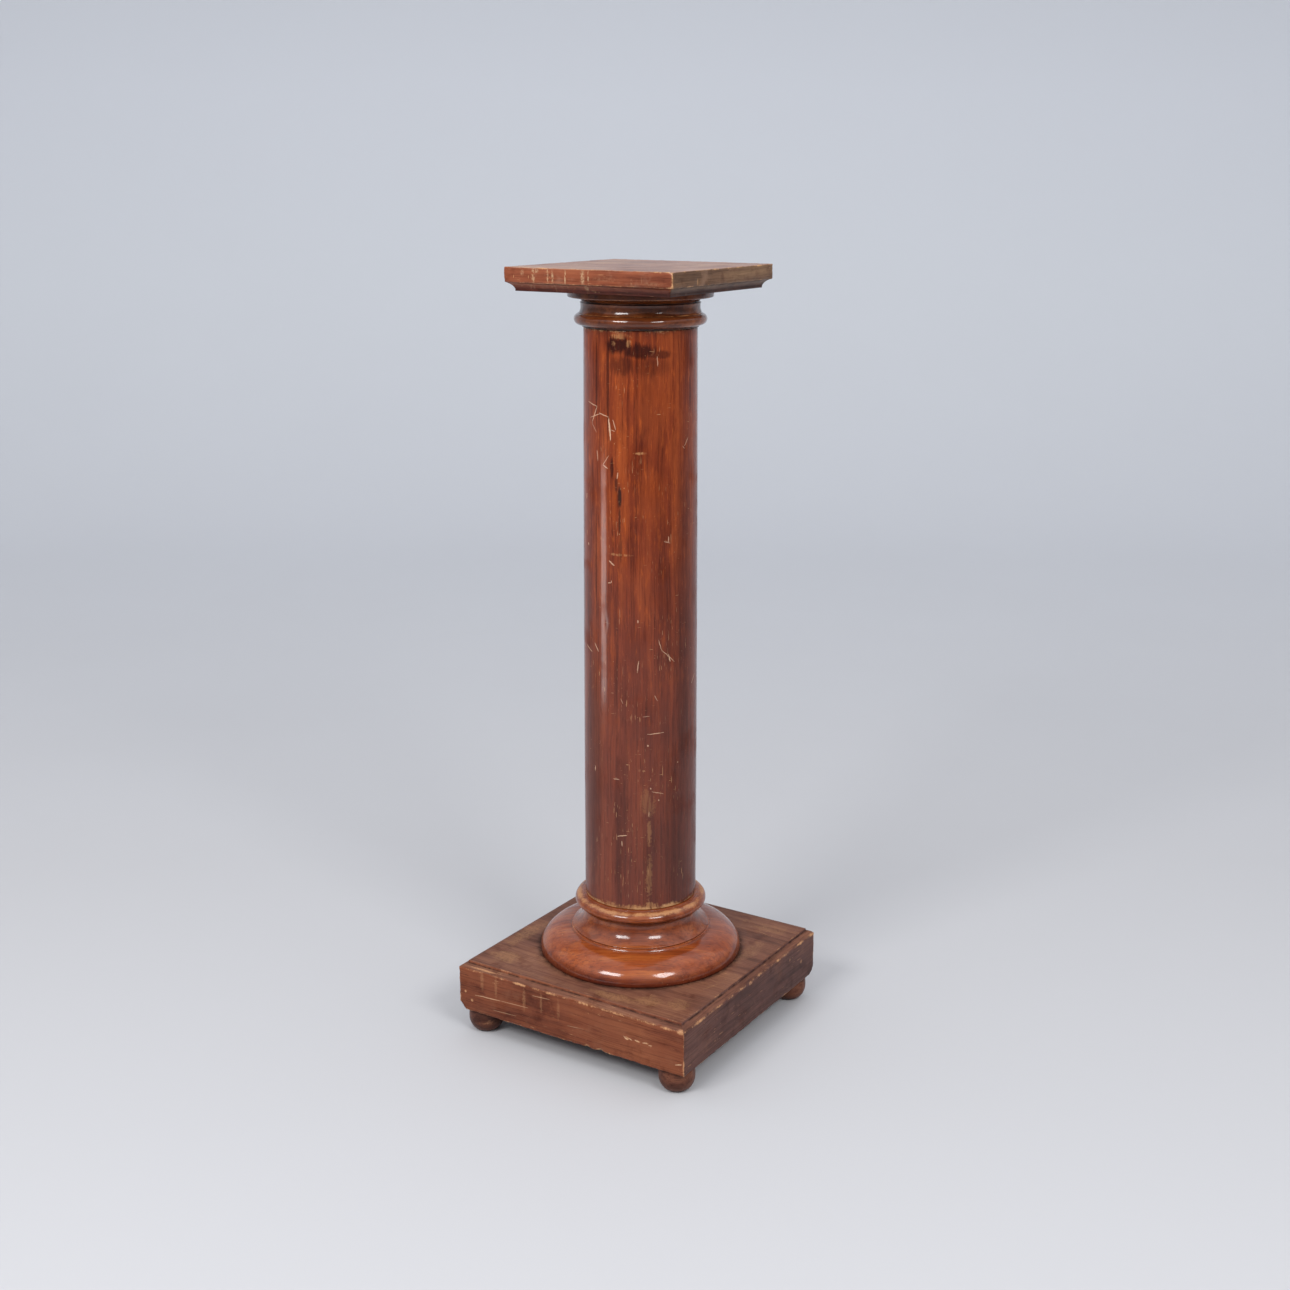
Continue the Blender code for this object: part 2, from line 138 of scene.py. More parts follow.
class NodeDesk:
    """Lays out and wires the nodes of one shader tree."""

    def __init__(self, tree: bpy.types.NodeTree) -> None:
        """Start on a tree."""
        self.tree = tree
        self.count = 0

    def add(self, kind: str, feeds: Mapping[int | str, Feed] | None = None,
            **settings: object) -> bpy.types.Node:
        """Add a node, set it up and feed its sockets.

        Args:
            kind: Blender's name of the node type.
            feeds: Values or other sockets for its inputs, by name or place.
            **settings: Properties of the node.

        Returns:
            The new node.
        """
        node = self.tree.nodes.new(kind)
        node.location = (self.count % 14 * 190.0, -(self.count // 14) * 260.0)
        self.count += 1
        for name, value in settings.items():
            setattr(node, name, value)
        for key, feed in (feeds or {}).items():
            if isinstance(feed, bpy.types.NodeSocket):
                self.tree.links.new(feed, node.inputs[key])
            else:
                node.inputs[key].default_value = feed
        return node

    def math(self, operation: str, *values: Feed, clamp: bool = False) -> Socket:
        """Work out one number from others."""
        node = self.add("ShaderNodeMath", dict(enumerate(values)), operation=operation, use_clamp=clamp)
        return node.outputs[0]

    def vector(self, operation: str, *values: Feed) -> bpy.types.Node:
        """Work on vectors; the node is given back, for its vector or its value."""
        return self.add("ShaderNodeVectorMath", dict(enumerate(values)), operation=operation)

    def scaled(self, vector: Socket, by: Sequence[float]) -> Socket:
        """Stretch a vector by three numbers."""
        return self.vector("MULTIPLY", vector, tuple(by)).outputs[0]

    def ease(self, value: Feed, low: float, high: float) -> Socket:
        """Rise smoothly from 0 at low to 1 at high, or fall where low is the larger."""
        feeds = {"Value": value, "From Min": low, "From Max": high}
        return self.add("ShaderNodeMapRange", feeds, interpolation_type="SMOOTHSTEP").outputs[0]

    def times(self, first: Feed, second: Feed, clamp: bool = False) -> Socket:
        """Multiply two numbers."""
        return self.math("MULTIPLY", first, second, clamp=clamp)

    def part(self, value: Feed, low: float, high: float, most: float) -> Socket:
        """Rise smoothly from 0 at low to a most at high."""
        return self.times(self.ease(value, low, high), most)

    def noise(self, vector: Socket, scale: float, detail: float = 3.0, roughness: float = 0.55,
              distortion: float = 0.0) -> Socket:
        """Give soft noise between 0 and 1.

        Args:
            vector: Coordinates that it follows.
            scale: How fine it is.
            detail: How many finer layers it has.
            roughness: How strong the finer layers are.
            distortion: How far it is swirled.

        Returns:
            The noise.
        """
        feeds = {"Vector": vector, "Scale": scale, "Detail": detail, "Roughness": roughness,
                 "Distortion": distortion}
        return self.add("ShaderNodeTexNoise", feeds).outputs[0]

    def ramp(self, value: Socket, stops: Sequence[tuple[float, Tint]]) -> Socket:
        """Run a number through a row of colours.

        Args:
            value: The number, from 0 to 1.
            stops: Places and display colours, in order.

        Returns:
            The colour.
        """
        node = self.add("ShaderNodeValToRGB", {0: value})
        bar = node.color_ramp
        while len(bar.elements) < len(stops):
            bar.elements.new(0.5)
        for element, (place, tint) in zip(bar.elements, stops):
            element.position = place
            element.color = linear(tint)
        return node.outputs[0]

    def mix(self, share: Feed, first: Feed, second: Feed, blend: str = "MIX") -> Socket:
        """Mix two colours by a share."""
        feeds = {0: share, 6: first, 7: second}
        return self.add("ShaderNodeMix", feeds, data_type="RGBA", blend_type=blend).outputs[2]

    def flat(self, first: Feed, second: Feed, third: Feed = 0.0) -> Socket:
        """Join numbers to a place on a flat map."""
        return self.add("ShaderNodeCombineXYZ", {0: first, 1: second, 2: third}).outputs[0]

    def attribute(self, layer: Layer) -> bpy.types.Node:
        """Read a layer that the mesh carries."""
        return self.add("ShaderNodeAttribute", attribute_name=layer.value, attribute_type="GEOMETRY")

    def unwrapped(self, layer: Layer) -> Socket:
        """Read one of the mesh's own flat maps."""
        return self.add("ShaderNodeUVMap", uv_map=layer.value).outputs[0]

    def objects(self) -> Socket:
        """Read the Object coordinates."""
        return self.add("ShaderNodeTexCoord").outputs["Object"]

    def shaken(self, vector: Socket, scale: float, amount: float) -> Socket:
        """Shift a vector here and there, so that a pattern on it loses its straight edges.

        Args:
            vector: Coordinates that it follows.
            scale: How fine it is.
            amount: The furthest shift.

        Returns:
            The shifted vector.
        """
        cloud = self.add("ShaderNodeTexNoise", {"Vector": vector, "Scale": scale, "Detail": 2.0}).outputs[1]
        centred = self.vector("SUBTRACT", cloud, (0.5, 0.5, 0.5)).outputs[0]
        return self.vector("MULTIPLY_ADD", centred, (amount, amount, 0.0), vector).outputs[0]

    def group(self, tree: bpy.types.NodeTree, feeds: Mapping[str, Feed]) -> bpy.types.Node:
        """Place a shared effect."""
        return self.add("ShaderNodeGroup", feeds, node_tree=tree)


def start_group(name: str, inputs: Mapping[str, str],
                outputs: Mapping[str, str]) -> tuple[NodeDesk, bpy.types.Node]:
    """Start a shared effect as a node group.

    Args:
        name: Name of the group.
        inputs: Socket types by input name.
        outputs: Socket types by output name.

    Returns:
        A desk on the group's tree, and the node that holds its inputs.
    """
    tree = bpy.data.node_groups.new(name, "ShaderNodeTree")
    for label, kind in inputs.items():
        tree.interface.new_socket(name=label, in_out="INPUT", socket_type=kind)
    for label, kind in outputs.items():
        tree.interface.new_socket(name=label, in_out="OUTPUT", socket_type=kind)
    desk = NodeDesk(tree)
    return desk, desk.add("NodeGroupInput")


def start_material(name: str) -> tuple[bpy.types.Material, NodeDesk]:
    """Start a material with no nodes and give it with its desk.

    Args:
        name: Its name.

    Returns:
        The material and its desk.
    """
    material = bpy.data.materials.new(name)
    material.use_nodes = True
    material.node_tree.nodes.clear()
    return material, NodeDesk(material.node_tree)


def set_out(name: str, data: bpy.types.ID) -> bpy.types.Object:
    """Put a mesh, lamp or camera in the scene, as an object.

    Args:
        name: Its name.
        data: The mesh, lamp or camera.

    Returns:
        The object.
    """
    thing = bpy.data.objects.new(name, data)
    bpy.context.scene.collection.objects.link(thing)
    return thing


def meshed(name: str, shape: bmesh.types.BMesh) -> bpy.types.Mesh:
    """Turn a finished shape into a smooth mesh.

    Args:
        name: Its name.
        shape: The shape.

    Returns:
        The mesh.
    """
    mesh = bpy.data.meshes.new(name)
    shape.to_mesh(mesh)
    shape.free()
    mesh.shade_smooth()
    return mesh


NUMBER = "NodeSocketFloat"
DIRECTION = "NodeSocketVector"


class Effects:
    """The shared effects, each built once as a node group."""

    def __init__(self) -> None:
        """Build every group."""
        self.grain = self.build_grain()
        self.wear = self.build_wear()
        self.flecks = self.build_flecks()
        self.stroke = self.build_stroke()
        self.patch = self.build_patch()

    @staticmethod
    def build_grain() -> bpy.types.NodeTree:
        """Wood figure that runs along X: broad streaks, fine lines, open pores and cloudy stain.

        Returns:
            The group's tree.
        """
        desk, given = start_group(
            "wood_grain",
            {"Vector": DIRECTION, "Along": NUMBER, "Across": NUMBER, "Wander": NUMBER},
            {"Streak": NUMBER, "Fine": NUMBER, "Pores": NUMBER, "Cloud": NUMBER})
        place = given.outputs["Vector"]
        cloud = desk.add("ShaderNodeTexNoise", {"Vector": place, "Scale": 7.0, "Detail": 2.0})
        centred = desk.vector("SUBTRACT", cloud.outputs[1], (0.5, 0.5, 0.5)).outputs[0]
        shift = desk.add("ShaderNodeVectorMath", {0: centred, "Scale": given.outputs["Wander"]},
                         operation="SCALE").outputs[0]
        wandered = desk.vector("ADD", place, shift).outputs[0]
        stretch = desk.add("ShaderNodeCombineXYZ", {0: given.outputs["Along"], 1: given.outputs["Across"],
                                                    2: given.outputs["Across"]}).outputs[0]
        run = desk.vector("MULTIPLY", wandered, stretch).outputs[0]
        streak = desk.noise(run, 1.0, 4.0, 0.6)
        fine = desk.noise(desk.scaled(run, (1.6, 5.5, 5.5)), 1.0, 3.0, 0.6)
        pores = desk.ease(desk.noise(desk.scaled(run, (9.0, 14.0, 14.0)), 1.0, 1.0, 0.5), 0.60, 0.74)
        stain = desk.noise(desk.scaled(wandered, (6.0, 11.0, 11.0)), 1.0, 4.0, 0.62)
        desk.add("NodeGroupOutput", {"Streak": streak, "Fine": fine, "Pores": pores, "Cloud": stain})
        return desk.tree

    @staticmethod
    def build_wear() -> bpy.types.NodeTree:
        """Rubbed arrises: the mesh's own arris layer, broken up by noise at two scales.

        Returns:
            The group's tree.
        """
        desk, given = start_group("edge_wear", {"Vector": DIRECTION, "Arris": NUMBER, "Reach": NUMBER},
                                  {"Mask": NUMBER})
        place = given.outputs["Vector"]
        coarse = desk.noise(place, 38.0, 3.0, 0.65)
        fine = desk.noise(place, 420.0, 2.0, 0.6)
        broken = desk.math("MULTIPLY_ADD", coarse, 1.25, desk.times(fine, 0.55))
        level = desk.math("ADD", desk.times(given.outputs["Arris"], given.outputs["Reach"]), broken)
        desk.add("NodeGroupOutput", {"Mask": desk.ease(level, 1.34, 1.72)})
        return desk.tree

    @staticmethod
    def build_flecks() -> bpy.types.NodeTree:
        """Fine pale flecks and hairlines, scattered and drawn out along X.

        Returns:
            The group's tree.
        """
        desk, given = start_group("fine_flecks", {"Vector": DIRECTION, "Amount": NUMBER}, {"Mask": NUMBER})
        place = given.outputs["Vector"]
        long_ones = desk.noise(desk.scaled(place, (60.0, 900.0, 900.0)), 1.0, 1.0, 0.4)
        cross_ones = desk.noise(desk.scaled(place, (700.0, 95.0, 95.0)), 1.0, 1.0, 0.4)
        dots = desk.noise(place, 520.0, 1.0, 0.4)
        region = desk.noise(place, 16.0, 2.0, 0.6)
        lines = desk.ease(long_ones, 0.70, 0.78)
        crosses = desk.ease(cross_ones, 0.74, 0.82)
        spots = desk.ease(dots, 0.76, 0.82)
        every = desk.math("MAXIMUM", desk.math("MAXIMUM", lines, crosses), spots)
        here = desk.ease(region, 0.44, 0.66)
        mask = desk.times(desk.times(every, here), given.outputs["Amount"], clamp=True)
        desk.add("NodeGroupOutput", {"Mask": mask})
        return desk.tree

    @staticmethod
    def build_stroke() -> bpy.types.NodeTree:
        """One scratch between two spots of a flat map, thinner at its ends.

        Returns:
            The group's tree.
        """
        desk, given = start_group(
            "scratch_stroke", {"Vector": DIRECTION, "Start": DIRECTION, "End": DIRECTION, "Width": NUMBER},
            {"Mask": NUMBER})
        offset = desk.vector("SUBTRACT", given.outputs["Vector"], given.outputs["Start"]).outputs[0]
        run = desk.vector("SUBTRACT", given.outputs["End"], given.outputs["Start"]).outputs[0]
        along = desk.vector("DOT_PRODUCT", offset, run).outputs["Value"]
        length = desk.vector("DOT_PRODUCT", run, run).outputs["Value"]
        share = desk.math("MINIMUM", desk.math("MAXIMUM", desk.math("DIVIDE", along, length), 0.0), 1.0)
        near = desk.add("ShaderNodeVectorMath", {0: run, "Scale": share}, operation="SCALE").outputs[0]
        gap = desk.vector("LENGTH", desk.vector("SUBTRACT", offset, near).outputs[0]).outputs["Value"]
        bow = desk.times(share, desk.math("SUBTRACT", 1.0, share))
        wide = desk.times(given.outputs["Width"], desk.math("MULTIPLY_ADD", bow, 2.4, 0.4))
        level = desk.math("DIVIDE", gap, wide)
        desk.add("NodeGroupOutput", {"Mask": desk.ease(level, 1.0, 0.35)})
        return desk.tree

    @staticmethod
    def build_patch() -> bpy.types.NodeTree:
        """One ragged patch of a flat map, whose third number is the noise that breaks up its outline.

        Returns:
            The group's tree.
        """
        desk, given = start_group(
            "ragged_patch", {"Vector": DIRECTION, "Centre": DIRECTION, "Size": DIRECTION, "Ragged": NUMBER},
            {"Mask": NUMBER})
        offset = desk.vector("SUBTRACT", given.outputs["Vector"], given.outputs["Centre"]).outputs[0]
        share = desk.vector("DIVIDE", offset, given.outputs["Size"]).outputs[0]
        gap = desk.vector("LENGTH", share).outputs["Value"]
        cloud = desk.vector("DOT_PRODUCT", offset, (0.0, 0.0, 1.0)).outputs["Value"]
        broken = desk.math("MULTIPLY_ADD", cloud, given.outputs["Ragged"], gap)
        desk.add("NodeGroupOutput", {"Mask": desk.ease(broken, 1.0, 0.45)})
        return desk.tree


@dataclass(frozen=True)
class Scratch:
    """A scratch between two spots; a turned piece counts the first number in degrees of turn."""

    start: Spot
    end: Spot
    width: float
    strength: float


@dataclass(frozen=True)
class Patch:
    """A ragged patch round a spot; a turned piece counts the first numbers in degrees of turn."""

    centre: Spot
    size: Spot
    strength: float
    ragged: float


Row = tuple[float, float, float, float, float, float]


def scratches(*rows: Row) -> tuple[Scratch, ...]:
    """Make scratches from rows of two spots, a width in millimetres and a strength."""
    return tuple(Scratch(row[:2], row[2:4], *row[4:]) for row in rows)


def patches(*rows: Row) -> tuple[Patch, ...]:
    """Make patches from rows of a spot, a half width and half height, a strength and a raggedness."""
    return tuple(Patch(row[:2], row[2:4], *row[4:]) for row in rows)


@dataclass(frozen=True)
class MarkMap:
    """Turns spots of a surface into places on one of its flat maps."""

    per_unit: float

    def place(self, spot: Spot) -> tuple[float, float, float]:
        """Give the place of a spot on the flat map."""
        return (spot[0] * self.per_unit, spot[1], 0.0)

    def draw(self, desk: NodeDesk, effects: Effects, vector: Socket, cloud: Socket,
             marks: Sequence[Scratch] | Sequence[Patch]) -> Socket:
        """Draw marks of one kind and join them in one mask.

        Args:
            desk: Desk of the material.
            effects: The shared effects.
            vector: The flat map.
            cloud: Noise that breaks up the outlines of patches.
            marks: The scratches or the patches.

        Returns:
            The mask.
        """
        ragged = isinstance(marks[0], Patch)
        if ragged:
            axes = desk.add("ShaderNodeSeparateXYZ", {0: vector}).outputs
            vector = desk.flat(axes[0], axes[1], cloud)
        joined: Feed = 0.0
        for mark in marks:
            feeds = self.patch(mark) if ragged else self.stroke(mark)
            effect = desk.group(effects.patch if ragged else effects.stroke, {"Vector": vector, **feeds})
            joined = desk.math("MAXIMUM", desk.times(effect.outputs[0], mark.strength), joined)
        return joined

    def stroke(self, mark: Scratch) -> dict[str, Feed]:
        """Give what a scratch feeds its effect."""
        return {"Start": self.place(mark.start), "End": self.place(mark.end), "Width": mark.width / 1000.0}

    def patch(self, mark: Patch) -> dict[str, Feed]:
        """Give what a patch feeds its effect; FLAT lets the third direction count for nothing."""
        return {"Centre": (*self.place(mark.centre)[:2], 0.5), "Ragged": mark.ragged,
                "Size": (mark.size[0] * self.per_unit, mark.size[1], FLAT)}


ON_COLUMN = MarkMap(math.radians(1.0) * UNROLL_REACH)
ON_FLAT = MarkMap(1.0)


@dataclass(frozen=True)
class Stain:
    """Colours of a stained wood, from its darkest streaks to rubbed bare wood, and the dark of its grooves,
    both dirt and painted shade.
    """

    deep: Tint
    middle: Tint
    bright: Tint
    rubbed: Tint
    grime_and_shade: Tint

    def stops(self) -> tuple[tuple[float, Tint], ...]:
        """Give the colours of the sound wood, each with the tone that it stands at."""
        return ((0.34, self.deep), (0.50, self.middle), (0.68, self.bright))


@dataclass(frozen=True)
class Varnish:
    """How a varnish shines, and how much relief shows through it."""

    roughness: float
    coat: float
    coat_roughness: float
    relief: float
    coat_ior: float = 1.5


class Look:
    """A finish while it is built up: its colour, height and dullness so far."""

    def __init__(self, desk: NodeDesk, effects: Effects, run: Socket) -> None:
        """Start from the grain's own direction.

        Args:
            desk: Desk of the material.
            effects: The shared effects.
            run: Coordinates with the grain along X.
        """
        self.desk = desk
        self.effects = effects
        self.run = run
        self.place = desk.objects()
        self.cloud = desk.noise(self.place, 55.0, 5.0, 0.68)
        self.colour: Feed = linear((0, 0, 0))
        self.height: Feed = 0.0
        self.dull: Feed = 0.0

    def tint(self, mask: Feed, tint: Tint, dull: float = 0.0, rise: float = 0.0) -> None:
        """Lay a colour over the finish through a mask.

        Args:
            mask: Where it lies.
            tint: Its display colour.
            dull: How much duller it makes the surface.
            rise: How far it stands up, or lies deeper where negative.
        """
        self.colour = self.desk.mix(mask, self.colour, linear(tint))
        self.sink(mask, dull, rise)

    def deepen(self, mask: Feed, tint: Tint, dull: float = 0.0) -> None:
        """Darken the finish through a mask, as a stain does."""
        self.colour = self.desk.mix(mask, self.colour, linear(tint), "MULTIPLY")
        self.sink(mask, dull, 0.0)

    def sink(self, mask: Feed, dull: float, rise: float) -> None:
        """Change the dullness and the height through a mask.

        Args:
            mask: Where it changes.
            dull: How much duller it becomes.
            rise: How far it stands up, or lies deeper where negative.
        """
        if dull:
            self.dull = self.desk.math("MULTIPLY_ADD", mask, dull, self.dull)
        if rise:
            self.height = self.desk.math("MULTIPLY_ADD", mask, rise, self.height)


@dataclass(frozen=True)
class WoodFinish:
    """A stained and varnished wood, to which the finish of each piece adds its own marks."""

    name: str
    stain: Stain
    varnish: Varnish
    along: float
    across: float
    wander: float
    wear: float
    flecks: float
    # Heights of the band under which the colour is darkened with painted shade; the default lies under the
    # ground and darkens nothing.
    shade: Spot = (-1.0, -0.5)

    FIGURE = (150, 128, 118)
    PORE = (120, 96, 88)
    PAINTED_UNDERSIDE_SHADE = (160, 126, 128)

    def run(self, desk: NodeDesk) -> Socket:
        """Give coordinates with the grain along X."""
        return desk.objects()

    def ground(self, look: Look, grain: bpy.types.Node) -> None:
        """Lay the wood's own colour.

        Args:
            look: The finish so far.
            grain: The placed grain effect.
        """
        desk = look.desk
        tone = desk.math("MULTIPLY_ADD", grain.outputs["Cloud"], 0.45,
                         desk.times(grain.outputs["Streak"], 0.55))
        look.colour = desk.ramp(tone, self.stain.stops())

    def marks(self, look: Look) -> None:
        """Add the piece's own marks; a plain finish has none."""

    def build(self, effects: Effects) -> bpy.types.Material:
        """Build the material.

        Args:
            effects: The shared effects.

        Returns:
            The material.
        """
        material, desk = start_material(self.name)
        material.diffuse_color = linear(self.stain.middle)
        look = Look(desk, effects, self.run(desk))
        grain = desk.group(effects.grain, {"Vector": look.run, "Along": self.along, "Across": self.across,
                                           "Wander": self.wander})
        self.ground(look, grain)
        look.deepen(desk.part(grain.outputs["Fine"], 0.52, 0.34, 0.45), self.FIGURE)
        look.deepen(desk.times(grain.outputs["Pores"], 0.5), self.PORE)
        look.sink(grain.outputs["Pores"], 0.0, -0.25)
        look.sink(grain.outputs["Fine"], 0.0, 0.35)
        self.marks(look)
        # Painted shade: under the shade band the colour is darkened, where the faces turn down and away from
        # the light.
        low, high = self.shade
        height = desk.add("ShaderNodeSeparateXYZ", {0: look.place}).outputs[2]
        level = desk.math("MULTIPLY_ADD", look.cloud, 0.004, height)
        look.deepen(desk.ease(level, high + 0.002, low + 0.002), self.PAINTED_UNDERSIDE_SHADE)
        flecks = desk.group(effects.flecks, {"Vector": look.run, "Amount": self.flecks}).outputs[0]
        look.tint(flecks, self.stain.rubbed, 0.15, -0.2)
        # Grooves, corners and contacts are darkened: dirt, and painted shade where shade falls into them.
        crease = desk.attribute(Layer.CREASE).outputs["Fac"]
        look.tint(desk.times(crease, desk.ease(look.cloud, 0.30, 0.62)), self.stain.grime_and_shade, 0.25)
        arris = desk.attribute(Layer.ARRIS).outputs["Fac"]
        worn = desk.group(effects.wear, {"Vector": look.place, "Arris": arris, "Reach": self.wear})
        look.tint(desk.times(worn.outputs[0], 0.85), self.stain.rubbed, 0.22, -0.1)
        self.finish(look)
        return material

    def finish(self, look: Look) -> None:
        """Feed the shader from the finished look.

        Args:
            look: The finish so far.
        """
        desk = look.desk
        smear = desk.noise(look.place, 21.0, 4.0, 0.62)
        rough = desk.math("MULTIPLY_ADD", desk.math("SUBTRACT", smear, 0.5), 0.22, self.varnish.roughness)
        rough = desk.math("ADD", rough, look.dull, clamp=True)
        coat = desk.times(desk.math("SUBTRACT", 1.0, desk.times(look.dull, 2.2), clamp=True),
                         desk.times(desk.ease(smear, 0.20, 0.52), self.varnish.coat))
        ripple = desk.noise(look.place, 85.0, 2.0, 0.5)
        height = desk.math("MULTIPLY_ADD", ripple, 0.5, look.height)
        bump = desk.add("ShaderNodeBump", {
            "Strength": self.varnish.relief, "Distance": BUMP_DEPTH, "Height": height})
        shader = desk.add("ShaderNodeBsdfPrincipled", {
            "Base Color": look.colour, "Roughness": rough, "IOR": BASE_IOR, "Coat Weight": coat,
            "Coat Roughness": self.varnish.coat_roughness, "Coat IOR": self.varnish.coat_ior,
            "Normal": bump.outputs[0]})
        desk.add("ShaderNodeOutputMaterial", {0: shader.outputs[0]})


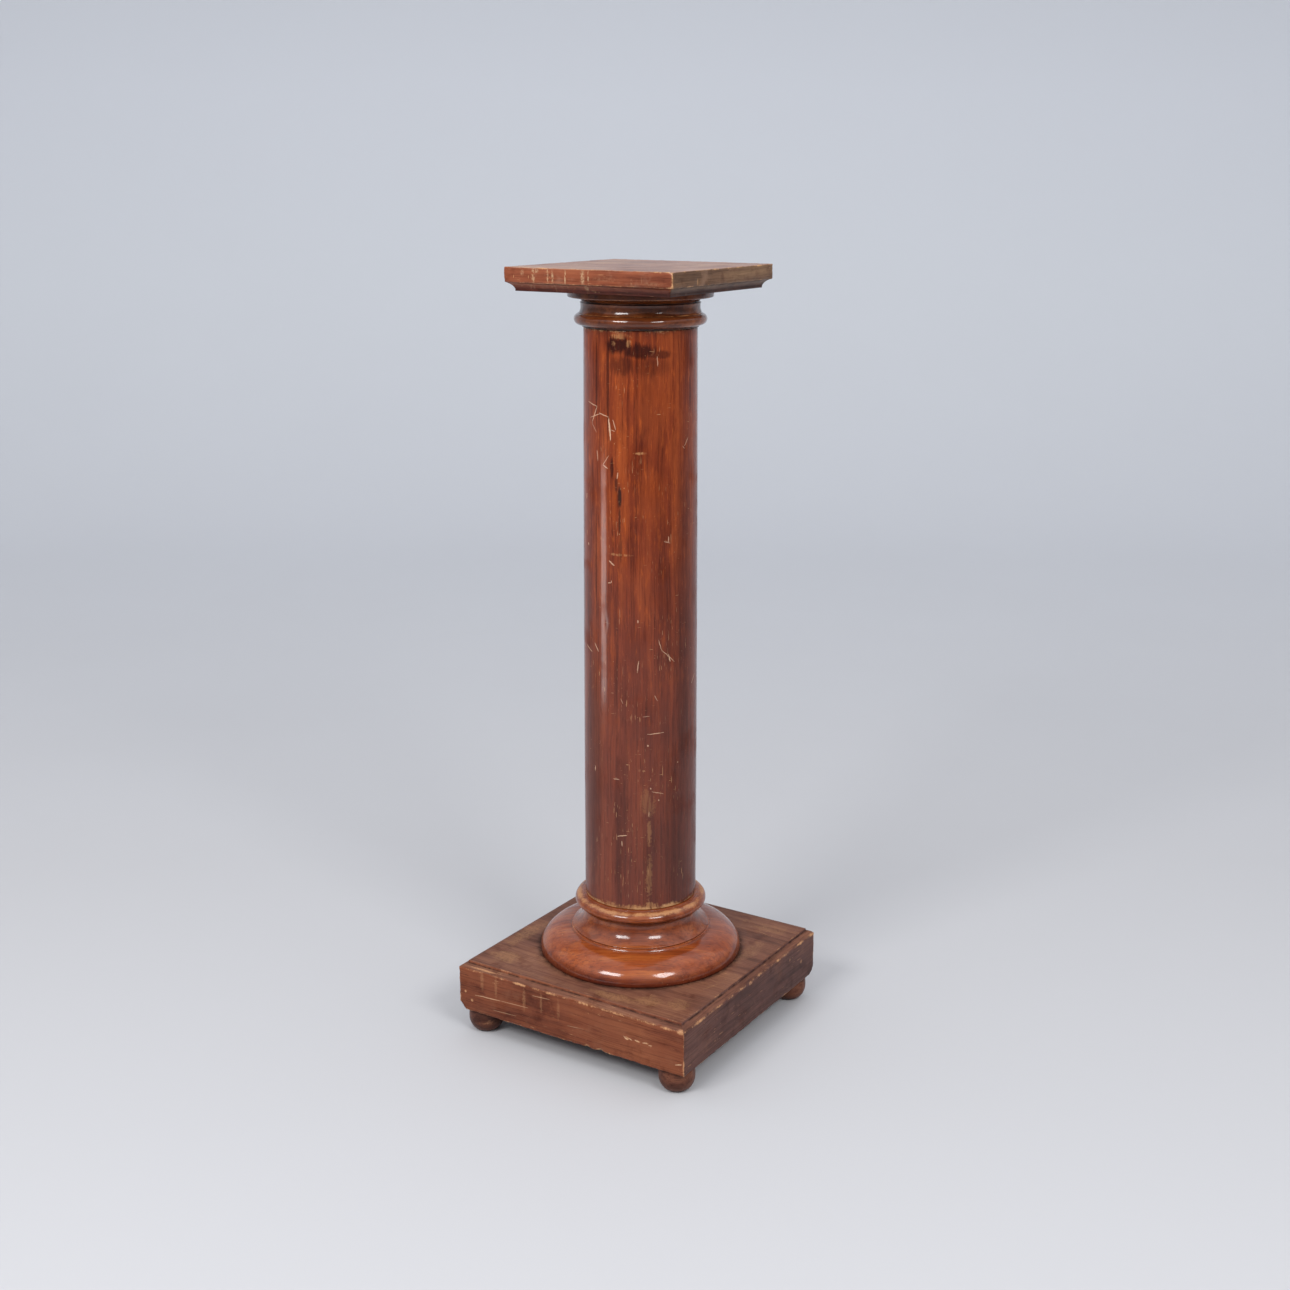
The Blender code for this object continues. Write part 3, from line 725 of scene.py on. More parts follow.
@dataclass(frozen=True)
class ShaftFinish(WoodFinish):
    """The shaft's red-brown varnish: upright figure, brighter above, with a knot, stains and scratches."""

    BAND = (176, 134, 126)
    LOW_SHADE = (205, 196, 226)
    DUST = (122, 92, 84)
    MOTTLE = (184, 88, 32)
    MOTTLE_SHADE = (150, 110, 104)
    SPILL = (96, 66, 62)
    BARE = (190, 140, 92)
    CHAR = (38, 24, 20)
    SCORE = (200, 164, 134)
    DARK_MARKS = patches(
        (-23.0, 1.0, 16.0, 0.015, 0.95, 1.4), (-57.0, 0.4, 20.0, 0.24, 0.4, 0.8),
        (48.0, 0.64, 16.0, 0.3, 0.32, 1.0), (8.0, 0.972, 26.0, 0.016, 0.32, 1.7),
        (-3.0, 0.992, 22.0, 0.013, 0.85, 1.6), (20.0, 0.988, 16.0, 0.007, 0.6, 1.6),
        (-16.0, 0.974, 18.0, 0.018, 0.55, 1.7), (-49.2, 0.955, 1.6, 0.085, 0.75, 0.7),
        (-34.0, 0.95, 2.0, 0.085, 0.6, 0.7), (-50.0, 0.7, 1.5, 0.11, 0.55, 0.8),
        (-29.2, 0.836, 2.4, 0.02, 0.8, 1.0), (-25.0, 0.56, 2.6, 0.12, 0.22, 1.2),
        (-22.0, 0.33, 9.0, 0.15, 0.25, 1.6), (22.0, 0.69, 6.0, 0.12, 0.22, 1.6),
        (30.0, 0.62, 6.0, 0.1, 0.2, 1.6), (-8.0, 0.7, 4.0, 0.09, 0.2, 1.6),
        (36.0, 0.33, 12.0, 0.16, 0.2, 1.7), (6.0, 0.26, 5.0, 0.06, 0.2, 1.7),
    )
    KNOT = patches(
        (-21.3, 0.797, 2.9, 0.018, 1.0, 0.7), (-21.0, 0.764, 1.5, 0.026, 0.8, 0.8),
        (-20.0, 0.728, 2.2, 0.026, 0.5, 1.2), (-24.5, 0.815, 2.2, 0.012, 0.6, 1.2),
    )
    BRIGHT_MARKS = patches(
        (-17.4, 0.858, 7.0, 0.05, 0.75, 1.5), (-27.0, 0.786, 3.2, 0.04, 0.8, 1.2),
        (-14.0, 0.78, 3.4, 0.05, 0.7, 1.2), (12.0, 0.92, 22.0, 0.08, 0.55, 1.6),
        (10.0, 0.8, 18.0, 0.06, 0.45, 1.6), (33.0, 0.86, 6.0, 0.03, 0.45, 1.6),
        (-29.0, 0.6, 2.5, 0.09, 0.5, 1.4), (-60.0, 0.86, 4.0, 0.12, 0.45, 1.4),
    )
    PALE_MARKS = patches(
        (-21.0, 1.012, 13.0, 0.005, 0.4, 2.4), (-27.5, 1.002, 2.6, 0.004, 0.45, 1.6),
        (-12.0, 1.003, 3.4, 0.007, 0.45, 1.8), (-0.5, 0.8575, 7.5, 0.0022, 0.5, 1.3),
        (-21.0, 0.7185, 15.0, 0.0022, 0.35, 1.3), (8.6, 0.317, 3.0, 0.022, 0.2, 2.0),
        (8.9, 0.25, 4.2, 0.04, 0.24, 2.0), (-31.0, 0.203, 11.0, 0.007, 0.4, 1.9),
        (-8.0, 0.203, 14.0, 0.0065, 0.52, 1.8), (10.0, 0.204, 9.0, 0.0085, 0.45, 1.9),
        (35.0, 0.203, 14.0, 0.004, 0.4, 1.5), (7.0, 0.362, 9.0, 0.026, 0.14, 1.9),
    )
    SCRATCHES = scratches(
        (-63.7, 0.9216, -48.1, 0.9172, 0.75, 0.78), (-48.1, 0.9172, -56.5, 0.8938, 0.98, 0.78),
        (-56.5, 0.8938, -49.3, 0.8825, 0.75, 0.64), (-45.0, 0.9089, -33.0, 0.9046, 0.9, 0.78),
        (-33.0, 0.9026, -30.6, 0.8742, 1.72, 0.87), (-59.3, 0.9011, -43.0, 0.9082, 0.75, 0.69),
        (-28.1, 0.9012, -25.0, 0.8881, 0.9, 0.69), (-30.6, 0.888, -26.0, 0.886, 0.83, 0.55),
        (-48.2, 0.8584, -47.0, 0.8441, 1.12, 0.64), (-33.0, 0.8528, -40.1, 0.8393, 0.68, 0.69),
        (-40.1, 0.8393, -33.9, 0.8353, 0.9, 0.74), (16.3, 0.9859, 17.1, 0.9728, 0.83, 0.6),
        (54.7, 0.8749, 49.0, 0.864, 0.98, 0.55), (46.1, 0.8642, 49.0, 0.8603, 0.75, 0.51),
        (-22.7, 0.8306, -23.6, 0.8228, 1.2, 0.64), (-68.2, 0.7957, -68.8, 0.7876, 1.2, 0.74),
        (-64.6, 0.7275, -64.0, 0.7245, 1.65, 0.78), (28.7, 0.7432, 28.7, 0.7342, 0.9, 0.74),
        (24.0, 0.7369, 30.3, 0.7339, 0.75, 0.6), (-32.4, 0.7089, -26.8, 0.7028, 1.42, 0.74),
        (-34.2, 0.6776, -30.1, 0.6783, 0.68, 0.78), (-30.1, 0.6783, -30.1, 0.6813, 0.68, 0.78),
        (-69.6, 0.5802, -57.8, 0.5739, 0.9, 0.74), (-52.5, 0.5878, -46.8, 0.5773, 1.12, 0.69),
        (18.1, 0.5993, 21.0, 0.5847, 0.6, 0.69), (21.0, 0.5847, 35.7, 0.5657, 0.68, 0.69),
        (28.9, 0.5777, 30.6, 0.5666, 1.2, 0.78), (-1.9, 0.5699, -3.4, 0.5534, 0.9, 0.64),
        (-2.6, 0.6285, -2.6, 0.6245, 1.2, 0.69), (71.1, 0.5378, 63.2, 0.5261, 0.98, 0.6),
        (6.6, 0.4642, 23.6, 0.4651, 0.75, 0.78), (7.2, 0.4485, 7.6, 0.4462, 1.42, 0.69),
        (-52.5, 0.4076, -52.6, 0.4002, 0.98, 0.83), (-28.2, 0.3957, -21.8, 0.3959, 0.83, 0.55),
        (40.2, 0.418, 40.6, 0.417, 1.2, 0.83), (9.8, 0.385, 10.2, 0.3832, 1.35, 0.69),
        (11.5, 0.379, 23.7, 0.3746, 0.68, 0.55), (18.3, 0.3668, 18.7, 0.365, 1.12, 0.69),
        (8.4, 0.3497, 8.4, 0.3412, 0.83, 0.55), (-23.8, 0.3104, -14.1, 0.3133, 0.98, 0.83),
        (-19.2, 0.3039, -18.8, 0.2965, 0.83, 0.83), (-20.0, 0.515, -18.0, 0.508, 0.68, 0.41),
        (2.0, 0.49, 9.0, 0.4905, 0.68, 0.41), (14.0, 0.52, 17.0, 0.512, 0.75, 0.46),
        (128.0, 0.84, 141.0, 0.831, 0.75, 0.55), (165.0, 0.62, 170.0, 0.595, 0.83, 0.55),
        (-140.0, 0.43, -128.0, 0.436, 0.75, 0.55), (-105.0, 0.72, -108.0, 0.701, 0.9, 0.55),
    )

    def run(self, desk: NodeDesk) -> Socket:
        """Turn the grain upright."""
        feeds = {"Vector": desk.objects(), "Rotation": (0.0, math.pi / 2.0, 0.0)}
        return desk.add("ShaderNodeMapping", feeds).outputs[0]

    def marks(self, look: Look) -> None:
        """Add bands, the lighter top, the knot, stains, bare spots and scratches.

        Args:
            look: The finish so far.
        """
        desk, effects = look.desk, look.effects
        height = desk.add("ShaderNodeSeparateXYZ", {0: look.place}).outputs[2]
        bands = desk.noise(desk.scaled(look.run, (0.9, 46.0, 46.0)), 1.0, 2.0, 0.55)
        look.deepen(desk.part(bands, 0.52, 0.36, 0.35), self.BAND)
        lower = desk.ease(desk.math("MULTIPLY_ADD", look.cloud, 0.10, height), 0.95, 0.30)
        look.deepen(lower, self.LOW_SHADE, 0.10)
        look.tint(desk.times(lower, 0.16), self.DUST)
        flat = desk.shaken(desk.unwrapped(Layer.UNROLLED), 260.0, 0.0016)
        drawn = desk.noise(desk.scaled(look.run, (28.0, 240.0, 240.0)), 1.0, 4.0, 0.65)
        bright = ON_COLUMN.draw(desk, effects, flat, drawn, self.BRIGHT_MARKS)
        look.tint(desk.times(bright, 0.55), self.stain.bright)
        mottle = desk.noise(desk.scaled(look.run, (34.0, 230.0, 230.0)), 1.0, 4.0, 0.66)
        look.tint(desk.times(desk.part(mottle, 0.52, 0.72, 0.36),
                            desk.math("SUBTRACT", 1.0, lower)), self.MOTTLE)
        look.deepen(desk.part(mottle, 0.46, 0.32, 0.26), self.MOTTLE_SHADE)
        dark = ON_COLUMN.draw(desk, effects, flat, drawn, self.DARK_MARKS)
        look.deepen(dark, self.SPILL)
        grit = desk.noise(look.place, 240.0, 3.0, 0.7)
        pale = ON_COLUMN.draw(desk, effects, flat, grit, self.PALE_MARKS)
        look.tint(desk.times(pale, desk.ease(drawn, 0.34, 0.58)), self.BARE, 0.12)
        knot = ON_COLUMN.draw(desk, effects, flat, drawn, self.KNOT)
        look.tint(desk.times(knot, 0.9), self.CHAR, 0.1, -0.6)
        scratched = ON_COLUMN.draw(desk, effects, flat, drawn, self.SCRATCHES)
        look.tint(desk.times(scratched, desk.ease(look.cloud, 0.22, 0.48)), self.SCORE, 0.2, -0.5)


@dataclass(frozen=True)
class TurnedFinish(WoodFinish):
    """Wood turned across its length, so that the figure runs level and shows long on the front."""

    def run(self, desk: NodeDesk) -> Socket:
        """Turn the grain level."""
        feeds = {"Vector": desk.objects(), "Rotation": (0.0, 0.0, -math.radians(FACING))}
        return desk.add("ShaderNodeMapping", feeds).outputs[0]

    def marks(self, look: Look) -> None:
        """Add broad darker and lighter stretches, as hand-rubbed stain leaves them.

        Args:
            look: The finish so far.
        """
        desk = look.desk
        rub = desk.noise(desk.scaled(look.run, (7.0, 16.0, 44.0)), 1.0, 4.0, 0.6)
        look.deepen(desk.part(rub, 0.50, 0.34, 0.40), (166, 112, 96))
        look.tint(desk.part(rub, 0.56, 0.74, 0.35), self.stain.bright)


@dataclass(frozen=True, kw_only=True)
class SquareFinish(WoodFinish):
    """Wood of a square piece, with a stain for the long sides, the short sides and the top, each holding the
    wood's colour and its painted light and shade.
    """

    DRIP = (206, 174, 134)
    SCRATCH = (208, 168, 132)
    BREAK = 0.24

    # Stains of the short sides and of the top, which hold painted light and shade as well as the wood's
    # colour.
    short: Stain
    top_stain_as_lit: Stain
    drips: tuple[Patch, ...] = ()
    front_patches: tuple[Patch, ...] = ()
    front_scratches: tuple[Scratch, ...] = ()
    right_patches: tuple[Patch, ...] = ()
    top_patches: tuple[Patch, ...] = ()
    top_scratches: tuple[Scratch, ...] = ()

    def run(self, desk: NodeDesk) -> Socket:
        """Follow each side, along the map that the mesh carries."""
        return desk.unwrapped(Layer.GRAIN)

    def ground(self, look: Look, grain: bpy.types.Node) -> None:
        """Lay the colours of the sides and the top, each with its painted light and shade.

        Args:
            look: The finish so far.
            grain: The placed grain effect.
        """
        desk = look.desk
        faces = desk.add("ShaderNodeSeparateColor", {0: desk.attribute(Layer.FACES).outputs["Color"]})
        tone = desk.math("MULTIPLY_ADD", grain.outputs["Cloud"], 0.55,
                         desk.times(grain.outputs["Streak"], 0.45))
        # Each face is painted as it is lit: the top greyer, and on the board paler, with painted sheen; the
        # sides with their own painted light and shade.
        layers = [desk.ramp(tone, kind.stops()) for kind in (self.short, self.stain, self.top_stain_as_lit)]
        sides = desk.mix(faces.outputs[0], layers[0], layers[1])
        look.colour = desk.mix(faces.outputs[2], sides, layers[2])

    def marks(self, look: Look) -> None:
        """Add drips, bruises, bare patches and scratches; a row without a face lies on the short sides.

        Args:
            look: The finish so far.
        """
        desk, effects = look.desk, look.effects
        faces = desk.add("ShaderNodeSeparateColor", {0: desk.attribute(Layer.FACES).outputs["Color"]})
        parts = desk.add("ShaderNodeSeparateXYZ", {0: desk.shaken(look.place, 240.0, 0.0030)})
        x, y, z = parts.outputs
        front, right, top = desk.flat(x, z), desk.flat(y, z), desk.flat(x, y)
        blotch = desk.noise(look.place, 30.0, 4.0, 0.62)
        look.tint(desk.part(blotch, 0.54, 0.72, 0.22), self.top_stain_as_lit.bright, 0.05)
        fine = desk.noise(look.place, 300.0, 3.0, 0.7)
        look.deepen(desk.part(blotch, 0.46, 0.30, 0.55), (176, 140, 130))
        ahead, above = faces.outputs[1], faces.outputs[2]
        bare, bare_top = self.stain.rubbed, self.top_stain_as_lit.rubbed
        for marks, vector, cloud, face, tint, share, low, dull, rise in (
                (self.drips, front, fine, ahead, self.DRIP, 0.78, 0.39, 0.2, 0.2),
                (self.front_patches, front, fine, ahead, bare, 0.8, 0.28, 0.1, -0.3),
                (self.front_scratches, front, fine, ahead, self.SCRATCH, 0.9, 0.24, 0.2, -0.5),
                (self.right_patches, right, fine, None, self.short.rubbed, 0.8, 0.28, 0.1, -0.2),
                (self.top_patches, top, look.cloud, above, bare_top, 0.7, 0.34, 0.05, -0.1),
                (self.top_scratches, top, fine, above, bare_top, 0.8, 0.26, 0.1, -0.4)):
            if marks:
                mask = ON_FLAT.draw(desk, effects, vector, cloud, marks)
                face = face or desk.math("SUBTRACT", 1.0, faces.outputs[0], clamp=True)
                broken = desk.times(mask, desk.ease(fine, low, low + self.BREAK))
                look.tint(desk.times(desk.times(broken, face), share), tint, dull, rise)


@dataclass(frozen=True)
class FloorFinish:
    """The plain pale studio floor and its sweep, with painted light: paler up the backdrop, and dim far in
    front of the pedestal.
    """

    stops: tuple[tuple[float, Tint], ...] = ((0.08, (188, 188, 190)), (0.38, (206, 208, 212)),
                                             (0.69, (220, 223, 227)), (0.90, (227, 230, 235)))
    dim: Tint = (138, 139, 142)
    lit: Spot = (1.8, 4.5)

    def build(self) -> bpy.types.Material:
        """Build the material: paint with faint cloudy variation, and painted light, paler up the backdrop and
        dim far in front.

        Returns:
            The material.
        """
        material, desk = start_material("studio_floor_paint")
        place = desk.objects()
        behind = desk.vector("DOT_PRODUCT", place, tuple(around(180.0, 0.1, 0.2))).outputs["Value"]
        cloud = desk.noise(place, 1.6, 4.0, 0.6)
        # Painted light: the colour grows paler toward and up the backdrop.
        colour = desk.ramp(desk.math("MULTIPLY_ADD", cloud, 0.05, behind), self.stops)
        # Painted shade: the floor far in front of the pedestal is dimmed.
        away = desk.ease(desk.vector("LENGTH", place).outputs["Value"], *self.lit)
        front = desk.ease(behind, 0.08, -0.10)
        colour = desk.mix(desk.times(away, front), colour, linear(self.dim))
        shader = desk.add("ShaderNodeBsdfPrincipled", {"Base Color": colour, "Roughness": 0.75})
        desk.add("ShaderNodeOutputMaterial", {0: shader.outputs[0]})
        return material


@dataclass(frozen=True)
class Ring:
    """A line that runs round a piece, at a reach and a height of its section."""

    reach: float
    height: float
    width: float
    strength: float = 1.0

    def nearness(self, reach: float, height: float) -> float:
        """Give 1 on the line, falling to 0 at its width."""
        gap = math.hypot(reach - self.reach, height - self.height)
        return self.strength * (1.0 - eased(gap, 0.0, self.width))


@dataclass(frozen=True)
class Dent:
    """A bruise or chip that pushes the surface in round a place."""

    place: Vector
    width: float
    depth: float


def dents_round(*rows: tuple[float, float, float, float, float]) -> list[Dent]:
    """Make dents from rows of a turn, a reach, a height, a width and a depth."""
    return [Dent(around(*row[:3]), *row[3:]) for row in rows]


def dents_at(*rows: tuple[float, float, float, float, float]) -> list[Dent]:
    """Make dents from rows of a place's three numbers, a width and a depth."""
    return [Dent(Vector(row[:3]), *row[3:]) for row in rows]


@dataclass(frozen=True)
class Knock:
    """A corner that has been knocked off, back to a slanting worn face."""

    corner: Vector
    size: float


class Section:
    """Collects the spots of a section, in order."""

    def __init__(self, reach: float, height: float) -> None:
        """Start at a spot."""
        self.spots: list[Spot] = [(reach, height)]

    def to(self, reach: float, height: float) -> "Section":
        """Go straight to a spot, unless the section is already there.

        Args:
            reach: Reach of the spot.
            height: Height of the spot.

        Returns:
            The section itself.
        """
        if math.dist((reach, height), self.spots[-1]) > SPOT_GAP:
            self.spots.append((reach, height))
        return self

    def arc(self, centre: Spot, radii: Spot, start: float, end: float, count: int) -> "Section":
        """Go round part of an ellipse.

        Args:
            centre: Its middle.
            radii: Its half width and half height.
            start: First angle in degrees, from outwards towards up.
            end: Last angle.
            count: Number of steps.

        Returns:
            The section itself.
        """
        for index in range(count + 1):
            angle = math.radians(start + (end - start) * index / count)
            self.to(centre[0] + radii[0] * math.cos(angle), centre[1] + radii[1] * math.sin(angle))
        return self

    def bow(self, reach: float, height: float, bulge: float, count: int) -> "Section":
        """Go to a spot along a line that bows to its left by the bulge.

        Args:
            reach: Reach of the spot.
            height: Height of the spot.
            bulge: How far the middle of the line stands out.
            count: Number of steps.

        Returns:
            The section itself.
        """
        first = self.spots[-1]
        run, rise = reach - first[0], height - first[1]
        length = math.hypot(run, rise)
        for index in range(1, count + 1):
            share = index / count
            lift = 4.0 * bulge * share * (1.0 - share) / length
            self.to(first[0] + run * share - rise * lift, first[1] + rise * share + run * lift)
        return self

    def flare(self, reach: float, height: float, count: int) -> "Section":
        """Leave the last spot upright and flare out to a lip, in one round sweep.

        Args:
            reach: Reach of the spot.
            height: Height of the spot.
            count: Number of steps.

        Returns:
            The section itself.
        """
        first = self.spots[-1]
        drop, wide = first[1] - height, reach - first[0]
        sweep = 2.0 * math.atan2(wide, abs(drop))
        radius = abs(drop) / math.sin(sweep)
        for index in range(1, count + 1):
            angle = sweep * index / count
            self.to(first[0] + radius * (1.0 - math.cos(angle)),
                    first[1] - math.copysign(radius * math.sin(angle), drop))
        return self

    def steps(self) -> list[Spot]:
        """Give the (inset, rise) steps between the spots, as a moulding is worked."""
        return [(b[0] - a[0], b[1] - a[1]) for a, b in zip(self.spots, self.spots[1:])]


@dataclass(kw_only=True)
class Piece:
    """One piece of the pedestal, which stands for one solid of the frame."""

    node: str
    name: str
    slot: str
    finish: WoodFinish

    @cached_property
    def room(self) -> tuple[Vector, Vector]:
        """The lowest and the highest corner of the piece's solid."""
        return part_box(self.node)

    @cached_property
    def foot(self) -> float:
        """Height of the piece's underside."""
        return self.room[0].z

    @cached_property
    def top(self) -> float:
        """Height of the piece's top."""
        return self.room[1].z

    def shape(self) -> bmesh.types.BMesh:
        """Shape the piece."""
        raise NotImplementedError

    def paint(self, mesh: bpy.types.Mesh) -> None:
        """Write the layers that the finish reads."""
        raise NotImplementedError

    def arrises(self) -> list[Ring]:
        """List the rubbed edges, by their distance from the middle and their height."""
        raise NotImplementedError

    def creases(self) -> list[Ring]:
        """List the grooves, corners and contacts that are darkened with dirt and painted shade."""
        raise NotImplementedError

    def dents(self) -> list[Dent]:
        """List the bruises and chips; a plain piece has none."""
        return []

    def build(self, effects: Effects) -> bpy.types.Object:
        """Shape, paint and dress the piece, and hang it in the frame.

        Args:
            effects: The shared effects.

        Returns:
            The finished piece.
        """
        shape = self.shape()
        press_dents(shape, self.dents())
        mesh = meshed(self.name, shape)
        self.paint(mesh)
        mesh.materials.append(self.finish.build(effects))
        thing = set_out(self.name, mesh)
        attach(thing, "root")
        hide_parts(self.node)
        log.info("%s: %d faces, stands for %s", self.name, len(mesh.polygons), self.node)
        return thing


def press_dents(shape: bmesh.types.BMesh, dents: Sequence[Dent]) -> None:
    """Push the surface in round each dent's place.

    Args:
        shape: The shape to mark.
        dents: Where, how wide and how deep.
    """
    for dent in dents:
        shape.normal_update()
        for vertex in shape.verts:
            gap = (vertex.co - dent.place).length
            if gap < dent.width:
                vertex.co -= vertex.normal * dent.depth * (1.0 - eased(gap, 0.0, dent.width))


def write_layer(mesh: bpy.types.Mesh, layer: Layer, values: Sequence[float]) -> None:
    """Write one number for each vertex."""
    mesh.attributes.new(layer.value, "FLOAT", "POINT").data.foreach_set("value", values)


def ring_layer(mesh: bpy.types.Mesh, layer: Layer, rings: Sequence[Ring],
               spot: Callable[[Vector], Spot]) -> None:
    """Write how near each vertex lies to the nearest of some rings.

    Args:
        mesh: The mesh.
        layer: The layer to write.
        rings: The rings.
        spot: Gives a vertex's reach and height.
    """
    values = []
    for vertex in mesh.vertices:
        reach, height = spot(vertex.co)
        values.append(max((ring.nearness(reach, height) for ring in rings), default=0.0))
    write_layer(mesh, layer, values)


@dataclass(kw_only=True)
class TurnedPiece(Piece):
    """A piece turned on the lathe."""

    steps: int = 160
    easing: float = 0.0004
    middle: Spot = (0.0, 0.0)

    def section(self) -> Section:
        """Give the section, from the top down, with heights from the underside."""
        raise NotImplementedError

    def shape(self) -> bmesh.types.BMesh:
        """Spin the section round, with its sharp corners eased first.

        Returns:
            The shape.
        """
        spots = self.section().spots
        spots = [(0.0, spots[0][1]), *spots, (0.0, spots[-1][1])]
        back = around(180.0, 1.0, 0.0)
        shape = bmesh.new()
        line = [shape.verts.new((self.middle[0] + back.x * reach, self.middle[1] + back.y * reach,
                                 self.foot + height)) for reach, height in spots]
        for first, second in zip(line, line[1:]):
            shape.edges.new((first, second))
        sharp = [at for before, at, after in zip(line, line[1:], line[2:])
                 if (at.co - before.co).angle(after.co - at.co) > SHARP_TURN]
        bmesh.ops.bevel(shape, geom=sharp, offset=self.easing, offset_type="OFFSET", segments=3, profile=0.5,
                        affect="VERTICES", clamp_overlap=True, material=-1)
        bmesh.ops.spin(shape, geom=shape.verts[:] + shape.edges[:], cent=(*self.middle, 0.0),
                       axis=(0.0, 0.0, 1.0), angle=math.tau, steps=self.steps, use_merge=True,
                       use_duplicate=False)
        bmesh.ops.remove_doubles(shape, verts=shape.verts[:], dist=SPOT_GAP)
        bmesh.ops.recalc_face_normals(shape, faces=shape.faces[:])
        return shape

    def spot(self, place: Vector) -> Spot:
        """Give the reach and the height of a place, in the piece's own section."""
        return (math.hypot(place.x - self.middle[0], place.y - self.middle[1]), place.z - self.foot)

    def paint(self, mesh: bpy.types.Mesh) -> None:
        """Write the rubbed edges, the darkened grooves and the unrolled map.

        Args:
            mesh: The mesh to write on.
        """
        ring_layer(mesh, Layer.ARRIS, self.arrises(), self.spot)
        ring_layer(mesh, Layer.CREASE, self.creases(), self.spot)
        unrolled = mesh.uv_layers.new(name=Layer.UNROLLED.value)
        shift = Vector((*self.middle, 0.0))
        for face in mesh.polygons:
            facing = turn_of(face.center - shift)
            for loop in face.loop_indices:
                place = mesh.vertices[mesh.loops[loop].vertex_index].co
                turn = turn_of(place - shift) if (place - shift).xy.length > NEAR else facing
                turn += 360.0 * round((facing - turn) / 360.0)
                unrolled.data[loop].uv = (math.radians(turn) * UNROLL_REACH, place.z)


@dataclass(kw_only=True)
class Shaft(TurnedPiece):
    """The plain round shaft, which narrows upwards with a slight swell."""

    foot_reach: float = 0.0811
    top_reach: float = 0.0776
    length: float = 0.8188
    swell: float = 1.7
    edge: float = 0.0012

    def section(self) -> Section:
        """Narrow from the foot to the top, with rounded ends.

        Returns:
            The section.
        """
        section = Section(self.top_reach - self.edge, self.length)
        low, high = self.edge, self.length - self.edge
        section.arc((self.top_reach - self.edge, high), (self.edge, self.edge), 90.0, 0.0, 3)
        count = 80
        for index in range(count + 1):
            share = 1.0 - index / count
            section.to(self.foot_reach - (self.foot_reach - self.top_reach) * share ** self.swell,
                       low + (high - low) * share)
        return section.arc((self.foot_reach - self.edge, low), (self.edge, self.edge), 0.0, -90.0, 3)

    def arrises(self) -> list[Ring]:
        """The rubbed foot, where the cloth never reached, and the top edge."""
        return [Ring(self.foot_reach, 0.0, 0.010, 0.9), Ring(self.top_reach, self.length, 0.004, 0.7)]

    def creases(self) -> list[Ring]:
        """The dark line under the capital."""
        return [Ring(self.top_reach, self.length, 0.0022, 0.9)]

    def dents(self) -> list[Dent]:
        """The split in the knot and a few bruises.

        Returns:
            The dents.
        """
        return dents_round((-21.3, 0.0788, 0.802, 0.006, 0.0012), (-21.3, 0.0788, 0.793, 0.006, 0.0012),
                           (-36.2, 0.0798, 0.621, 0.005, 0.0006),
                           (-19.0, 0.0808, self.foot + 0.112, 0.008, 0.0007))


@dataclass(kw_only=True)
class Torus(TurnedPiece):
    """The broad cushion-shaped ring on the plinth."""

    top_reach: float = 0.1018
    height: float = 0.0372
    fillet_height: float = 0.0032
    fillet_width: float = 0.0012
    cushion_width: float = 0.0453
    fullness: float = 2.1
    edge: float = 0.0010

    def section(self) -> Section:
        """A small fillet, then a full cushion down to the plinth.

        Returns:
            The section.
        """
        start = self.top_reach + self.fillet_width
        section = Section(self.top_reach, self.height).to(self.top_reach, self.height - 0.0014)
        cushion = self.height - self.fillet_height - self.edge
        count = 44
        for index in range(count + 1):
            angle = math.pi / 2.0 * index / count
            across = max(math.sin(angle), 0.0) ** (2.0 / self.fullness)
            up = max(math.cos(angle), 0.0) ** (2.0 / self.fullness)
            section.to(start + self.cushion_width * across, self.edge + cushion * up)
        return section.to(start + self.cushion_width - self.edge, 0.0)

    def arrises(self) -> list[Ring]:
        """The lip at the top, rubbed pale and with painted highlight, and a little of the belly."""
        return [Ring(self.top_reach, self.height, 0.0018, 0.60), Ring(0.1483, 0.014, 0.012, 0.30)]

    def creases(self) -> list[Ring]:
        """The groove behind the lip and the line on the plinth."""
        # Both dark lines, in the groove behind the lip and on the plinth, are dirt and painted shadow.
        return [Ring(self.top_reach + 0.0006, self.height - 0.0030, 0.0030, 0.45),
                Ring(0.1480, 0.0, 0.0035, 0.9)]

    def dents(self) -> list[Dent]:
        """Small bruises on the front of the cushion."""
        return dents_round((13.0, 0.1440, 0.1265, 0.004, 0.0006), (16.5, 0.1455, 0.1200, 0.004, 0.0006),
                           (-52.0, 0.1400, 0.1320, 0.006, 0.0005))


